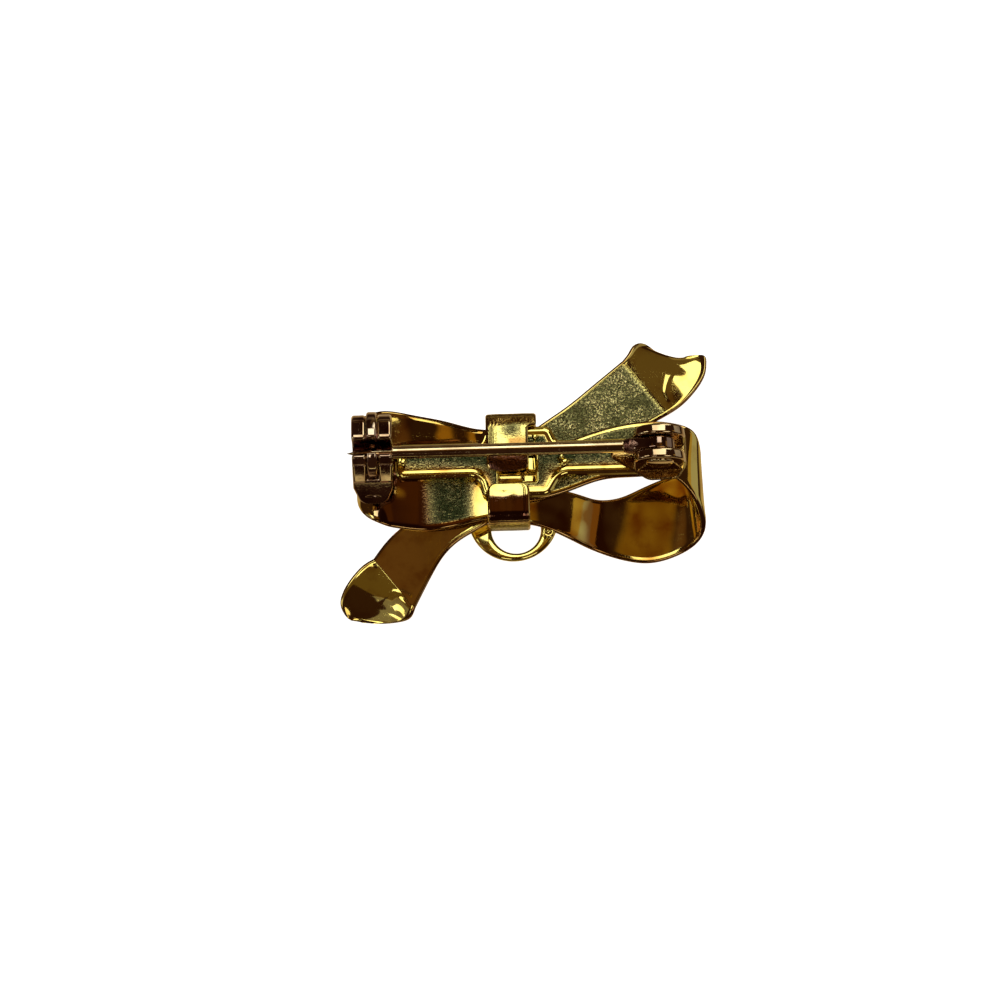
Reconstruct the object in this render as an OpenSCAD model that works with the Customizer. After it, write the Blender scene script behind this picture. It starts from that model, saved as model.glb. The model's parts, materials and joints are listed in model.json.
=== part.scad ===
// Bow brooch: loops and tails of thin sheet, held by a knot band, on a stamped bar that carries
// a hinged pin and a turning safety catch. It lies face down, as it rests on a table, so the pin
// is on top. X runs along the pin, with its point at -X, and Z points up.

/* [Sheet] */
// Thickness of the bow's sheet
sheet_t = 0.45; // [0.35:0.05:0.55]
// Air between the sheets that are stacked in the knot
sheet_gap = 0.12; // [0.08:0.02:0.2]
// Height of a loop, from its lowest to its highest sheet, both at mid thickness
loop_height = 4.35; // [4:0.05:5.2]

/* [Loops] */
// Reach of the right loop from the knot's middle
loop_reach_right = 15.8; // [14.6:0.1:17]
// Reach of the left loop from the knot's middle
loop_reach_left = 12.7; // [12.4:0.1:14]
// Reach of both loops across the bow, from the knot's middle
loop_breadth = 6.85; // [6.2:0.05:7.6]

/* [Tails] */
// Reach of the right tail along the pin, from the knot's middle
tail_reach_right = 16.5; // [15.5:0.1:18]
// Reach of the left tail along the pin, from the knot's middle
tail_reach_left = 14.5; // [13.8:0.1:15.5]
// Reach of both tails across the bow, from the knot's middle
tail_breadth = 11.6; // [10.8:0.1:12.5]

/* [Knot] */
// Place of the knot's middle along the pin
knot_x = -1; // [-1.4:0.1:-0.6]
// Place of the knot's middle across the bow
knot_y = 0.1; // [-0.2:0.05:0.4]
// Width of the knot band along the pin
knot_w = 4.2; // [3.9:0.05:4.5]
// Outer size of the knot band across the bow
knot_h = 9.7; // [9.4:0.1:10.4]
// Height of the knot's front face above the lowest point of the loops
knot_front = 1.45; // [1.2:0.05:1.55]
// Width of the two tabs that fold over the bar
tab_w = 3.5; // [3:0.05:3.8]
// Length of the upper tab, from the outside of its bend
tab_upper_l = 4.85; // [4.4:0.05:5.1]
// Length of the lower tab, from the outside of its bend
tab_lower_l = 3.7; // [3.3:0.05:4]
// Outer radius of the knot band's bends
bend_r = 1.1; // [0.9:0.05:1.2]
// Radius of the corners of the tabs
tab_corner_r = 0.6; // [0.4:0.05:0.8]

/* [Hanger] */
// How far the hanger loop reaches below the knot band
hanger_drop = 2; // [1.8:0.05:2.2]
// Outer radius of the hanger loop
hanger_r = 3.75; // [3.6:0.05:4]
// Inner radius of the hanger loop
hanger_bore_r = 2.2; // [2.18:0.01:2.3]
// Thickness of the hanger loop
hanger_t = 0.6; // [0.5:0.05:0.65]
// Width of the hanger loop's wire at its lowest point
hanger_wire = 0.65; // [0.55:0.05:0.75]

/* [Bar] */
// Thickness of the bar
bar_t = 0.6; // [0.5:0.05:0.7]
// Width of the bar
bar_w = 2.95; // [2.7:0.05:3.2]
// Place of the bar's middle across the bow
bar_y = 1.15; // [1:0.05:1.3]
// Width of the cross arms under the tabs, along the pin
cross_w = 5.9; // [5.4:0.05:6.4]
// Length of the cross arms, across the bow
cross_h = 5.85; // [5.4:0.05:6.3]
// Place of the cross arms' middle, along the pin from the knot's middle
cross_shift = 0.45; // [0.3:0.05:0.6]
// How far the cross arms' middle lies below the bar's middle
cross_drop = 0.22; // [0.1:0.02:0.3]
// Radius of the corners of the bar and its arms
bar_corner_r = 0.6; // [0.4:0.05:0.8]
// Side of the sunk square panel at the middle of the cross
panel_side = 3.9; // [3.5:0.1:4]
// Depth of the sunk panel
panel_depth = 0.25; // [0.15:0.05:0.35]
// Length of the pad under the hinge, along the pin
hinge_pad_l = 6.6; // [6:0.1:7]
// Width of the pad under the hinge
hinge_pad_w = 3.7; // [3.5:0.1:4]
// Length of the pad under the catch, across the bow
catch_pad_l = 5.6; // [5.2:0.05:6]

/* [Hinge] */
// Place of the hinge along the pin
hinge_x = 11.1; // [10.6:0.1:11.6]
// Height of the pin above the bar
pin_rise = 2.6; // [2.55:0.05:2.8]
// Radius of the ears
ear_r = 2.15; // [1.9:0.05:2.3]
// How far the middle of the ears' round tops lies below the pin
ear_drop = 0.5; // [0.4:0.05:0.6]
// Thickness of an ear
ear_t = 0.85; // [0.7:0.05:1]
// Radius of the hinge rivet
rivet_r = 0.55; // [0.45:0.05:0.6]
// Radius of the rivet's heads
rivet_head_r = 1.15; // [1:0.05:1.3]
// Height of the rivet's heads
rivet_head_t = 0.3; // [0.2:0.05:0.4]

/* [Pin] */
// Radius of the pin's wire
pin_r = 0.53; // [0.48:0.01:0.56]
// Place of the pin across the bow
pin_y = 1.25; // [1.15:0.05:1.35]
// Distance from the hinge rivet to the point
pin_l = 25.6; // [25:0.1:26.4]
// Length of the taper that ends in the point
point_l = 4; // [3.4:0.1:4.6]
// Radius of the pin's eye round the rivet
eye_r = 1.25; // [1.1:0.05:1.4]
// Length of the flat neck beside the eye
neck_l = 2; // [1.8:0.1:2.2]
// Radius of the neck's round end
neck_r = 0.88; // [0.8:0.02:0.95]
// Width of the pin's eye between the ears
eye_w = 1.1; // [1:0.05:1.2]

/* [Catch] */
// Place of the catch along the pin
catch_x = -12.4; // [-12.6:0.1:-12]
// Distance of the catch's axis from the pin, across the bow
catch_shift = 0.65; // [0.55:0.05:0.7]
// Radius of the hook disc
hook_r = 2.75; // [2.7:0.05:2.85]
// Thickness of the hook disc
hook_t = 0.85; // [0.7:0.05:1]
// Outer radius of the turning sleeve
sleeve_r = 2.5; // [2.45:0.01:2.5]
// Wall of the turning sleeve
sleeve_wall = 0.42; // [0.36:0.02:0.46]
// Length of the turning sleeve along the pin
sleeve_l = 3.3; // [3:0.05:3.5]
// Slope of the thumb tab, from the vertical over the sleeve
thumb_turn = 56; // [52:1:60]
// Length of the thumb tab, from where it leaves the sleeve
thumb_l = 4.4; // [3.8:0.05:4.6]
// Length of the thumb tab that keeps the sleeve's full width
shoulder_l = 2.65; // [2.3:0.05:2.9]
// Radius of the corners of the thumb tab
thumb_corner_r = 0.5; // [0.3:0.05:0.7]
// Width of the thumb tab at its tip
thumb_w = 2.2; // [1.8:0.05:2.6]

/* [Fits] */
// Running clearance of the hinge and the sleeve, on the radius
run_gap = 0.05; // [0.03:0.01:0.08]
// Air between fixed pieces of the bar, the rivet and the tabs
seat_gap = 0.1; // [0.06:0.02:0.14]
// Air under the rivet's heads
head_gap = 0.03; // [0.02:0.01:0.05]
// Air beside the pin in the catch's channel
channel_gap = 0.09; // [0.06:0.01:0.12]

/* [Hidden] */
$fn = 64;
tiny = 0.01;

// Heights of the sheets at mid thickness, from the table up
floor_z = sheet_t / 2;
back_z = floor_z + loop_height;
tail_z = back_z - sheet_t - sheet_gap;
front_z = tail_z - sheet_t - sheet_gap;
bar_z = back_z + sheet_t / 2 + sheet_gap;
bar_top = bar_z + bar_t;
pin_z = bar_top + pin_rise;

// Inside of the knot band, from its middle to a bend
knot_in = knot_h / 2 - sheet_t;
tab_top = bar_top + seat_gap + sheet_t;
tab_x = knot_x - (knot_w - tab_w) / 2;

// Steps between two rows of a table of sections, and across a strip
row_steps = 3;
across_steps = 6;

// Columns of the tables of sections: where edge a and edge b of the strip lie along the pin,
// across the bow and in height. IN_KNOT says that a row's shares are of the knot's inside.
XA = 0;
YA = 1;
ZA = 2;
XB = 3;
YB = 4;
ZB = 5;
IN_KNOT = 6;

// Heights in the loops' tables: 0 on the table, 1 the front sheet and 2 the back sheet in the
// knot. The rows run from the back of the knot round the loop to the front of the knot.
loop_right_rows = [
    [0.03, 0.36, 2.00, 0.03, -0.54, 2.00, 1],
    [1.00, 0.41, 2.00, 1.00, -0.52, 2.00, 1],
    [0.33, 0.42, 2.00, 0.29, -0.24, 2.00, 0],
    [0.52, 0.56, 2.00, 0.47, -0.09, 2.00, 0],
    [0.72, 0.62, 2.00, 0.66, -0.08, 2.00, 0],
    [0.86, 0.58, 1.96, 0.80, -0.06, 1.96, 0],
    [0.94, 0.52, 1.78, 0.88, -0.14, 1.70, 0],
    [0.97, 0.44, 1.28, 0.94, -0.30, 1.25, 0],
    [0.98, 0.31, 0.82, 0.98, -0.45, 0.82, 0],
    [0.97, 0.19, 0.43, 1.00, -0.61, 0.44, 0],
    [0.93, 0.12, 0.15, 0.97, -0.76, 0.17, 0],
    [0.84, 0.08, 0.02, 0.88, -0.89, 0.03, 0],
    [0.69, -0.05, 0.00, 0.72, -1.00, 0.00, 0],
    [0.56, -0.19, 0.08, 0.56, -0.95, 0.07, 0],
    [0.43, -0.23, 0.27, 0.41, -0.84, 0.27, 0],
    [0.32, -0.18, 0.62, 0.30, -0.75, 0.66, 0],
    [1.00, -0.16, 0.95, 1.00, -0.93, 0.95, 1],
    [0.03, -0.14, 1.00, 0.03, -0.90, 1.00, 1],
];
loop_left_rows = [
    [0.03, -0.84, 2.00, 0.03, 0.06, 2.00, 1],
    [1.00, -0.86, 2.00, 1.00, 0.06, 2.00, 1],
    [0.38, -0.64, 2.00, 0.38, 0.06, 2.00, 0],
    [0.58, -0.66, 2.00, 0.58, 0.06, 2.00, 0],
    [0.76, -0.61, 2.00, 0.78, 0.07, 2.00, 0],
    [0.87, -0.56, 1.96, 0.90, 0.12, 1.90, 0],
    [0.95, -0.47, 1.62, 0.96, 0.23, 1.45, 0],
    [0.99, -0.34, 0.98, 0.99, 0.41, 0.90, 0],
    [1.00, -0.19, 0.58, 1.00, 0.65, 0.54, 0],
    [0.98, -0.04, 0.24, 0.99, 0.87, 0.26, 0],
    [0.90, 0.03, 0.04, 0.93, 0.98, 0.06, 0],
    [0.76, 0.07, 0.00, 0.79, 1.00, 0.01, 0],
    [0.60, 0.12, 0.08, 0.62, 0.92, 0.11, 0],
    [0.43, 0.13, 0.36, 0.43, 0.81, 0.40, 0],
    [0.28, 0.10, 0.70, 0.28, 0.68, 0.74, 0],
    [1.00, 0.11, 0.96, 1.00, 0.93, 0.96, 1],
    [0.03, 0.10, 1.00, 0.03, 0.90, 1.00, 1],
];

// Heights in the tails' tables: 0 on the table and 1 in the knot. The last row of a tail is its
// crease, and the rows of its tip go on from there.
tail_right_rows = [
    [1.00, 0.93, 1.00, 2.05, 0.20, 1.00, 1],
    [0.28, 0.50, 0.95, 0.43, 0.18, 0.95, 0],
    [0.43, 0.68, 0.87, 0.62, 0.30, 0.88, 0],
    [0.57, 0.85, 0.76, 0.79, 0.44, 0.76, 0],
];
tip_right_rows = [
    [0.60, 0.91, 0.66, 0.87, 0.53, 0.55, 0],
    [0.62, 0.97, 0.55, 0.95, 0.67, 0.34, 0],
    [0.65, 1.00, 0.42, 0.99, 0.78, 0.19, 0],
    [0.70, 1.00, 0.28, 1.00, 0.87, 0.10, 0],
    [0.77, 0.98, 0.17, 1.00, 0.92, 0.05, 0],
    [0.85, 0.96, 0.08, 0.97, 0.95, 0.01, 0],
];
tail_left_rows = [
    [2.05, -0.20, 1.00, 1.00, -0.92, 1.00, 1],
    [0.48, -0.21, 0.95, 0.30, -0.45, 0.95, 0],
    [0.64, -0.35, 0.90, 0.40, -0.56, 0.89, 0],
    [0.73, -0.45, 0.84, 0.48, -0.72, 0.83, 0],
    [0.80, -0.56, 0.76, 0.57, -0.93, 0.76, 0],
];
tip_left_rows = [
    [0.87, -0.60, 0.63, 0.58, -0.96, 0.70, 0],
    [0.95, -0.70, 0.45, 0.60, -0.99, 0.61, 0],
    [0.99, -0.78, 0.29, 0.63, -1.00, 0.50, 0],
    [1.00, -0.84, 0.16, 0.69, -1.00, 0.36, 0],
    [0.98, -0.90, 0.07, 0.77, -0.99, 0.21, 0],
    [0.95, -0.93, 0.02, 0.86, -0.96, 0.11, 0],
];
// The strip's section at the knot's middle, where both tails start
tail_middle_row = [-0.54, 0.36, 1.00, 0.54, -0.36, 1.00, 1];

function loop_level(share) =
    share <= 1
        ? floor_z + share * (front_z - floor_z)
        : front_z + (share - 1) * (back_z - front_z);
function tail_level(share) = floor_z + share * (tail_z - floor_z);

// Middle of the knot plus shares of its inside, or of the reach and breadth of a loop or tail
function spot(row, x, y, side, reach, breadth) =
    row[IN_KNOT] == 1
        ? [knot_x + side * row[x] * knot_w / 2, knot_y + row[y] * knot_in]
        : [knot_x + side * row[x] * reach, knot_y + row[y] * breadth];
function loop_edges(rows, side, reach) = [
    for (row = rows)
        concat(spot(row, XA, YA, side, reach, loop_breadth), [loop_level(row[ZA])],
               spot(row, XB, YB, side, reach, loop_breadth), [loop_level(row[ZB])])
];
function tail_edges(rows, side, reach) = [
    for (row = rows)
        concat(spot(row, XA, YA, side, reach, tail_breadth), [tail_level(row[ZA])],
               spot(row, XB, YB, side, reach, tail_breadth), [tail_level(row[ZB])])
];

// Smooth curve through a list of rows, where t counts the rows from 0
function row_near(rows, i) = rows[max(0, min(len(rows) - 1, i))];
function curve_at(rows, t) =
    let (i = min(floor(t), len(rows) - 2), f = t - i,
         p = row_near(rows, i - 1), q = rows[i], r = rows[i + 1], s = row_near(rows, i + 2))
    q + f * (r - p) / 2 + f * f * (2 * p - 5 * q + 4 * r - s) / 2
        + f * f * f * (3 * q - p - 3 * r + s) / 2;
function curve(rows) = [
    for (i = [0 : (len(rows) - 1) * row_steps]) curve_at(rows, i / row_steps)
];
function reversed(list) = [for (i = [len(list) - 1 : -1 : 0]) list[i]];
function after_first(list) = [for (i = [1 : len(list) - 1]) list[i]];
function with_crease(tail_rows, tip_rows) = concat([tail_rows[len(tail_rows) - 1]], tip_rows);

// Point of the strip's middle sheet at one section, a share of the way from edge a to edge b
function sheet_point(section, share) =
    [for (k = [0 : 2]) section[k] + share * (section[k + 3] - section[k])];
function sheet_normal(sections, i, share) =
    let (before = sheet_point(sections[max(0, i - 1)], share),
         after = sheet_point(sections[min(len(sections) - 1, i + 1)], share),
         n = cross(after - before, sheet_point(sections[i], 1) - sheet_point(sections[i], 0)))
    n / norm(n);
function sheet_side(sections, i, side, shares) = [
    for (share = shares)
        sheet_point(sections[i], share) + side * sheet_t / 2 * sheet_normal(sections, i, share)
];

// A strip of even thickness through a list of sections
module strip(sections) {
    shares = [for (j = [0 : across_steps]) j / across_steps];
    ring = 2 * (across_steps + 1);
    last = len(sections) - 1;
    points = [
        for (i = [0 : last])
            each concat(sheet_side(sections, i, 1, shares),
                        sheet_side(sections, i, -1, reversed(shares)))
    ];
    sides = [
        for (i = [0 : last - 1], j = [0 : ring - 1])
            [i * ring + j, i * ring + (j + 1) % ring,
             (i + 1) * ring + (j + 1) % ring, (i + 1) * ring + j]
    ];
    ends = [
        for (j = [0 : across_steps - 1])
            each [[j, ring - 1 - j, ring - 2 - j, j + 1],
                  [last * ring + j, last * ring + j + 1,
                   last * ring + ring - 2 - j, last * ring + ring - 1 - j]]
    ];
    polyhedron(points, concat(sides, ends));
}

// Upright plate: a flat outline drawn along the pin and upwards, standing at a place across
module upright(y, t) {
    translate([0, y + t / 2, 0])
        rotate([90, 0, 0])
            linear_extrude(t)
                children();
}

// Round bar whose axis runs across the bow
module cross_bar(x, y, z, r, l) {
    translate([x, y + l / 2, z])
        rotate([90, 0, 0])
            cylinder(r = r, h = l);
}

// Round bar whose axis runs along the pin
module long_bar(x, y, z, r, l) {
    translate([x - l / 2, y, z])
        rotate([0, 90, 0])
            cylinder(r = r, h = l);
}

// Flat rectangle with round corners, about its middle
module round_rectangle(w, h, r) {
    square([w - 2 * r, h], center = true);
    square([w, h - 2 * r], center = true);
    for (sx = [-1, 1], sy = [-1, 1])
        translate([sx * (w / 2 - r), sy * (h / 2 - r)])
            circle(r);
}

// Hollow of an inner corner: what a fillet of one radius adds at the origin, towards +X +Y
module fillet(r) {
    difference() {
        translate([-tiny, -tiny])
            square(r + tiny);
        translate([r, r])
            circle(r);
    }
}

module loop_left() {
    color("darkgoldenrod")
        strip(curve(loop_edges(loop_left_rows, -1, loop_reach_left)));
}

module loop_right() {
    color("darkgoldenrod")
        strip(curve(loop_edges(loop_right_rows, 1, loop_reach_right)));
}

module tail_strip() {
    middle = tail_edges([tail_middle_row], 1, tail_reach_right);
    out_right = tail_edges(tail_right_rows, 1, tail_reach_right);
    out_left = tail_edges(tail_left_rows, -1, tail_reach_left);
    body = curve(concat(reversed(out_left), middle, out_right));
    tip_right = curve(tail_edges(with_crease(tail_right_rows, tip_right_rows), 1,
                                 tail_reach_right));
    tip_left = curve(tail_edges(with_crease(tail_left_rows, tip_left_rows), -1,
                                tail_reach_left));
    color("olive")
        strip(concat(reversed(after_first(tip_left)), body, after_first(tip_right)));
}

// Section of the knot band across the bow, closed all round
module knot_section() {
    tall = tab_top - knot_front;
    translate([knot_y, knot_front + tall / 2])
        difference() {
            round_rectangle(knot_h, tall, bend_r);
            round_rectangle(knot_h - 2 * sheet_t, tall - 2 * sheet_t, bend_r - sheet_t);
        }
}

// Plan of what the band keeps: its full width at the bends, and the two tabs
module knot_plan() {
    upper_end = knot_y + knot_h / 2 - tab_upper_l;
    lower_end = knot_y - knot_h / 2 + tab_lower_l;
    for (side = [-1, 1])
        translate([knot_x, knot_y + side * (knot_h - bend_r) / 2])
            square([knot_w, bend_r], center = true);
    translate([tab_x, upper_end + tab_upper_l / 2])
        round_rectangle(tab_w, tab_upper_l, tab_corner_r);
    translate([tab_x, lower_end - tab_lower_l / 2])
        round_rectangle(tab_w, tab_lower_l, tab_corner_r);
}

module knot_band() {
    color("goldenrod")
        intersection() {
            translate([knot_x - knot_w / 2, 0, 0])
                rotate([90, 0, 90])
                    linear_extrude(knot_w)
                        knot_section();
            union() {
                translate([knot_x - knot_w, knot_y - knot_h, 0])
                    cube([2 * knot_w, 2 * knot_h, bar_z]);
                linear_extrude(tab_top + tiny)
                    knot_plan();
            }
        }
}

// Flat D-shaped loop whose straight bar lies in the knot band's lower bend
module hanger_loop() {
    z = knot_front + sheet_t + seat_gap;
    inner_r = bend_r - sheet_t;
    drop = max(0, knot_front + bend_r - z);
    bend_room = inner_r - sqrt(max(0, inner_r * inner_r - drop * drop));
    bar_edge = knot_y - knot_in + bend_room + seat_gap / 2;
    lowest = knot_y - knot_h / 2 - hanger_drop;
    shank_w = knot_w + 2 * hanger_wire;
    color("goldenrod")
        translate([knot_x, lowest, z])
            linear_extrude(hanger_t)
                difference() {
                    intersection() {
                        translate([0, hanger_r])
                            circle(hanger_r);
                        union() {
                            translate([-hanger_r, 0])
                                square([2 * hanger_r, bar_edge - lowest - hanger_wire / 2]);
                            translate([-shank_w / 2, 0])
                                square([shank_w, bar_edge + hanger_wire - lowest]);
                        }
                    }
                    intersection() {
                        translate([0, hanger_wire + hanger_bore_r])
                            circle(hanger_bore_r);
                        translate([-hanger_r, 0])
                            square([2 * hanger_r, bar_edge - lowest]);
                    }
                    translate([-knot_w / 2 - seat_gap, hanger_drop - seat_gap])
                        square([knot_w + 2 * seat_gap, bar_edge - lowest - hanger_drop + seat_gap]);
                }
}

// Outline of the bar with its cross arms and the pads under the hinge and the catch
module bar_plan() {
    cross_x = knot_x + cross_shift;
    pad_w = sleeve_l - seat_gap;
    ear_pad_r = ear_r + 1.5 * seat_gap;
    left = catch_x - pad_w / 2;
    right = hinge_x + ear_pad_r;
    translate([(left + right) / 2, bar_y])
        round_rectangle(right - left, bar_w, bar_corner_r);
    translate([cross_x, bar_y - cross_drop])
        round_rectangle(cross_w, cross_h, bar_corner_r);
    for (sx = [-1, 1], sy = [-1, 1])
        translate([cross_x + sx * cross_w / 2, bar_y + sy * bar_w / 2])
            scale([sx, sy, 1])
                fillet(bar_corner_r / 2);
    translate([catch_x, pin_y + catch_shift])
        round_rectangle(pad_w, catch_pad_l, bar_corner_r);
    translate([right - hinge_pad_l / 2, pin_y])
        round_rectangle(hinge_pad_l, hinge_pad_w, 2 * bar_corner_r);
    translate([hinge_x, pin_y])
        circle(ear_pad_r);
}

// Two ears with round tops, either side of the pin's eye
module ears() {
    ear_y = (eye_w + ear_t) / 2 + run_gap;
    ear_z = pin_z - ear_drop;
    for (side = [-1, 1])
        upright(pin_y + side * ear_y, ear_t) {
            translate([hinge_x, ear_z])
                circle(ear_r);
            translate([hinge_x - ear_r, bar_top - tiny])
                square([2 * ear_r, ear_z - bar_top]);
        }
}

// Fixed disc of the catch on its foot, with the hub that the sleeve turns on
module hook() {
    catch_y = pin_y + catch_shift;
    hub_r = sleeve_r - sleeve_wall - run_gap;
    long_bar(catch_x, catch_y, pin_z, hook_r, hook_t);
    long_bar(catch_x, catch_y, pin_z, hub_r, sleeve_l);
    translate([catch_x - hook_t / 2, catch_y - hook_r / 2, bar_top - tiny])
        cube([hook_t, hook_r, hook_r / 2]);
}

module back_plate() {
    channel = pin_r + channel_gap;
    color("goldenrod")
        difference() {
            union() {
                translate([0, 0, bar_z])
                    linear_extrude(bar_t)
                        bar_plan();
                ears();
                hook();
            }
            cross_bar(hinge_x, pin_y, pin_z, rivet_r + run_gap / 2, 2 * (eye_w + 2 * ear_t));
            long_bar(catch_x, pin_y, pin_z, channel, 2 * sleeve_l);
            translate([catch_x - sleeve_l, pin_y - channel, pin_z])
                cube([2 * sleeve_l, 2 * channel, 2 * hook_r]);
            translate([knot_x + tab_w / 2 + cross_shift - panel_side,
                       bar_y - cross_drop - panel_side / 2, bar_top - panel_depth])
                cube([panel_side, panel_side, bar_t]);
        }
}

module hinge_rivet() {
    half = eye_w / 2 + run_gap + ear_t + head_gap;
    color("rosybrown") {
        cross_bar(hinge_x, pin_y, pin_z, rivet_r, 2 * (half + rivet_head_t / 2));
        for (side = [-1, 1])
            cross_bar(hinge_x, pin_y + side * (half + rivet_head_t / 2), pin_z,
                      rivet_head_r, rivet_head_t);
    }
}

module pin_stem() {
    color("rosybrown")
        difference() {
            union() {
                cross_bar(hinge_x, pin_y, pin_z, eye_r, eye_w);
                cross_bar(hinge_x - neck_l, pin_y, pin_z, neck_r, eye_w);
                translate([hinge_x - neck_l, pin_y - eye_w / 2, pin_z - neck_r])
                    cube([neck_l, eye_w, 2 * neck_r]);
                translate([hinge_x, pin_y, pin_z])
                    rotate([0, -90, 0]) {
                        cylinder(r = pin_r, h = pin_l - point_l);
                        translate([0, 0, pin_l - point_l])
                            cylinder(r1 = pin_r, r2 = 4 * tiny, h = point_l);
                    }
            }
            cross_bar(hinge_x, pin_y, pin_z, rivet_r + run_gap, 2 * eye_w);
        }
}

// Turning sleeve: two bands either side of the hook disc, joined by the thumb tab. Its gap is
// over the pin's channel, so the pin can lift.
module catch_lever() {
    band_in = sleeve_r - sleeve_wall;
    channel = pin_r + channel_gap;
    // degrees of air beside the channel
    margin = 6;
    gap_from = acos((channel - catch_shift) / band_in) - margin;
    gap_to = acos((-channel - catch_shift) / band_in) + margin;
    color("rosybrown")
        translate([catch_x, pin_y + catch_shift, pin_z])
            difference() {
                union() {
                    long_bar(0, 0, 0, sleeve_r, sleeve_l);
                    rotate([thumb_turn, 0, 0])
                        thumb();
                }
                long_bar(0, 0, 0, band_in, 2 * sleeve_l);
                long_bar(0, 0, 0, hook_r + run_gap, hook_t + 2 * run_gap);
                translate([-sleeve_l, 0, 0])
                    rotate([90, 0, 90])
                        linear_extrude(2 * sleeve_l)
                            polygon([[0, 0], 2 * hook_r * [cos(gap_from), sin(gap_from)],
                                     2 * hook_r * [cos(gap_to), sin(gap_to)]]);
            }
}

// Thumb tab, drawn flat along -Y, where it leaves the top of the sleeve as a tangent
module thumb() {
    corner_y = thumb_corner_r - thumb_l;
    translate([0, 0, sleeve_r - sleeve_wall])
        linear_extrude(sleeve_wall)
            union() {
                polygon([[-sleeve_l / 2, 0], [-sleeve_l / 2, -shoulder_l],
                         [-thumb_w / 2, corner_y], [thumb_w / 2, corner_y],
                         [sleeve_l / 2, -shoulder_l], [sleeve_l / 2, 0]]);
                translate([thumb_corner_r - thumb_w / 2, -thumb_l])
                    square([thumb_w - 2 * thumb_corner_r, 2 * thumb_corner_r]);
                for (side = [-1, 1])
                    translate([side * (thumb_w / 2 - thumb_corner_r), corner_y])
                        circle(thumb_corner_r);
            }
}

loop_left();
loop_right();
tail_strip();
knot_band();
hanger_loop();
back_plate();
hinge_rivet();
pin_stem();
catch_lever();
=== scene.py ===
"""Gilt sheet-metal bow brooch that lies face down, with its pin back on top."""
import json
import math

import bpy
import numpy as np
from bpy.props import FloatProperty, FloatVectorProperty, PointerProperty
from mathutils import Matrix, Vector, noise
from mathutils.geometry import tessellate_polygon


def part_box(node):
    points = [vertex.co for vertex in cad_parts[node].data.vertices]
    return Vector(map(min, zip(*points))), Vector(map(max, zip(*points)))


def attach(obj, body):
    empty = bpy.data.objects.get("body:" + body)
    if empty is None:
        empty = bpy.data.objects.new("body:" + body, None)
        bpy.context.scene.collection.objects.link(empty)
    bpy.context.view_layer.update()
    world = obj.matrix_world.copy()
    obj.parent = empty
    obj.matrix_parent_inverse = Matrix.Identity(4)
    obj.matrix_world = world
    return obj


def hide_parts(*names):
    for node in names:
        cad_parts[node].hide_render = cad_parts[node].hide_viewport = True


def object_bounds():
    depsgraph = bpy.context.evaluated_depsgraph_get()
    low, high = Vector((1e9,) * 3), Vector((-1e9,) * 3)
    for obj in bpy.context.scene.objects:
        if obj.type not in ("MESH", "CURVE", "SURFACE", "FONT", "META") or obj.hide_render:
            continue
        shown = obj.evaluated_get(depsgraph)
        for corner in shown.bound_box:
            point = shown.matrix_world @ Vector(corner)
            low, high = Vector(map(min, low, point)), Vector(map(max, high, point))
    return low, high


bl_info = {
    "name": "Bow brooch",
    "version": (1, 0, 0),
    "blender": (4, 5, 0),
    "location": "3D View > Sidebar > Brooch",
    "description": "Makes a gilt bow brooch with its pin and catch, seen from behind",
    "category": "Add Mesh",
}

MM = 0.001
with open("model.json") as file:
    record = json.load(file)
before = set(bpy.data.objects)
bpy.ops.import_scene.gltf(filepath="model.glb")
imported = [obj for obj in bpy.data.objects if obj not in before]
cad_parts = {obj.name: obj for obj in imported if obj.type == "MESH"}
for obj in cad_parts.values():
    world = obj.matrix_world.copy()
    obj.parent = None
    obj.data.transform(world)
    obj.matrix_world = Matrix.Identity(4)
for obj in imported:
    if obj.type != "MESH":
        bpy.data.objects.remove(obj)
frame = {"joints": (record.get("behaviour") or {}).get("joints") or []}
CAD_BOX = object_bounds()
JOINTS = {joint["name"]: np.array(joint["pos_m"]) for joint in frame["joints"]}
HINGE = JOINTS["pin_swing"]
CATCH = JOINTS["catch_turn"]
PLATE_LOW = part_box("back_plate")[0].z
KNOT_LOW, KNOT_HIGH = (np.array(corner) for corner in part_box("knot_band"))
KNOT = (KNOT_LOW + KNOT_HIGH) / 2
RING_LOW, RING_HIGH = (np.array(corner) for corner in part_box("hanger_loop"))
POINT_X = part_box("pin_stem")[0].x

# Each piece with its finish, the part's solid that it stands for, its body and its slot
PIECES = {
    "left_loop": ("gilt sheet", "loop_left", "root", "bow_sheet"),
    "right_loop": ("gilt sheet", "loop_right", "root", "bow_sheet"),
    "tails": ("gilt sheet", "tail_strip", "root", "tail_sheet"),
    "knot_wrap": ("gilt sheet", "knot_band", "root", "knot_sheet"),
    "hanger_ring": ("gilt sheet", "hanger_loop", "root", "hanger_wire"),
    "stamped_bar": ("gilt sheet", "back_plate", "root", "stamped_bar"),
    "hinge_ears": ("rose plate", "back_plate", "root", "stamped_bar"),
    "rivet": ("rose plate", "hinge_rivet", "root", "rose_fittings"),
    "pin_wire": ("rose plate", "pin_stem", "pin", "rose_fittings"),
    "catch_hook": ("rose plate", "back_plate", "root", "stamped_bar"),
    "catch_sleeve": ("rose plate", "catch_lever", "lever", "rose_fittings"),
}

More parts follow.
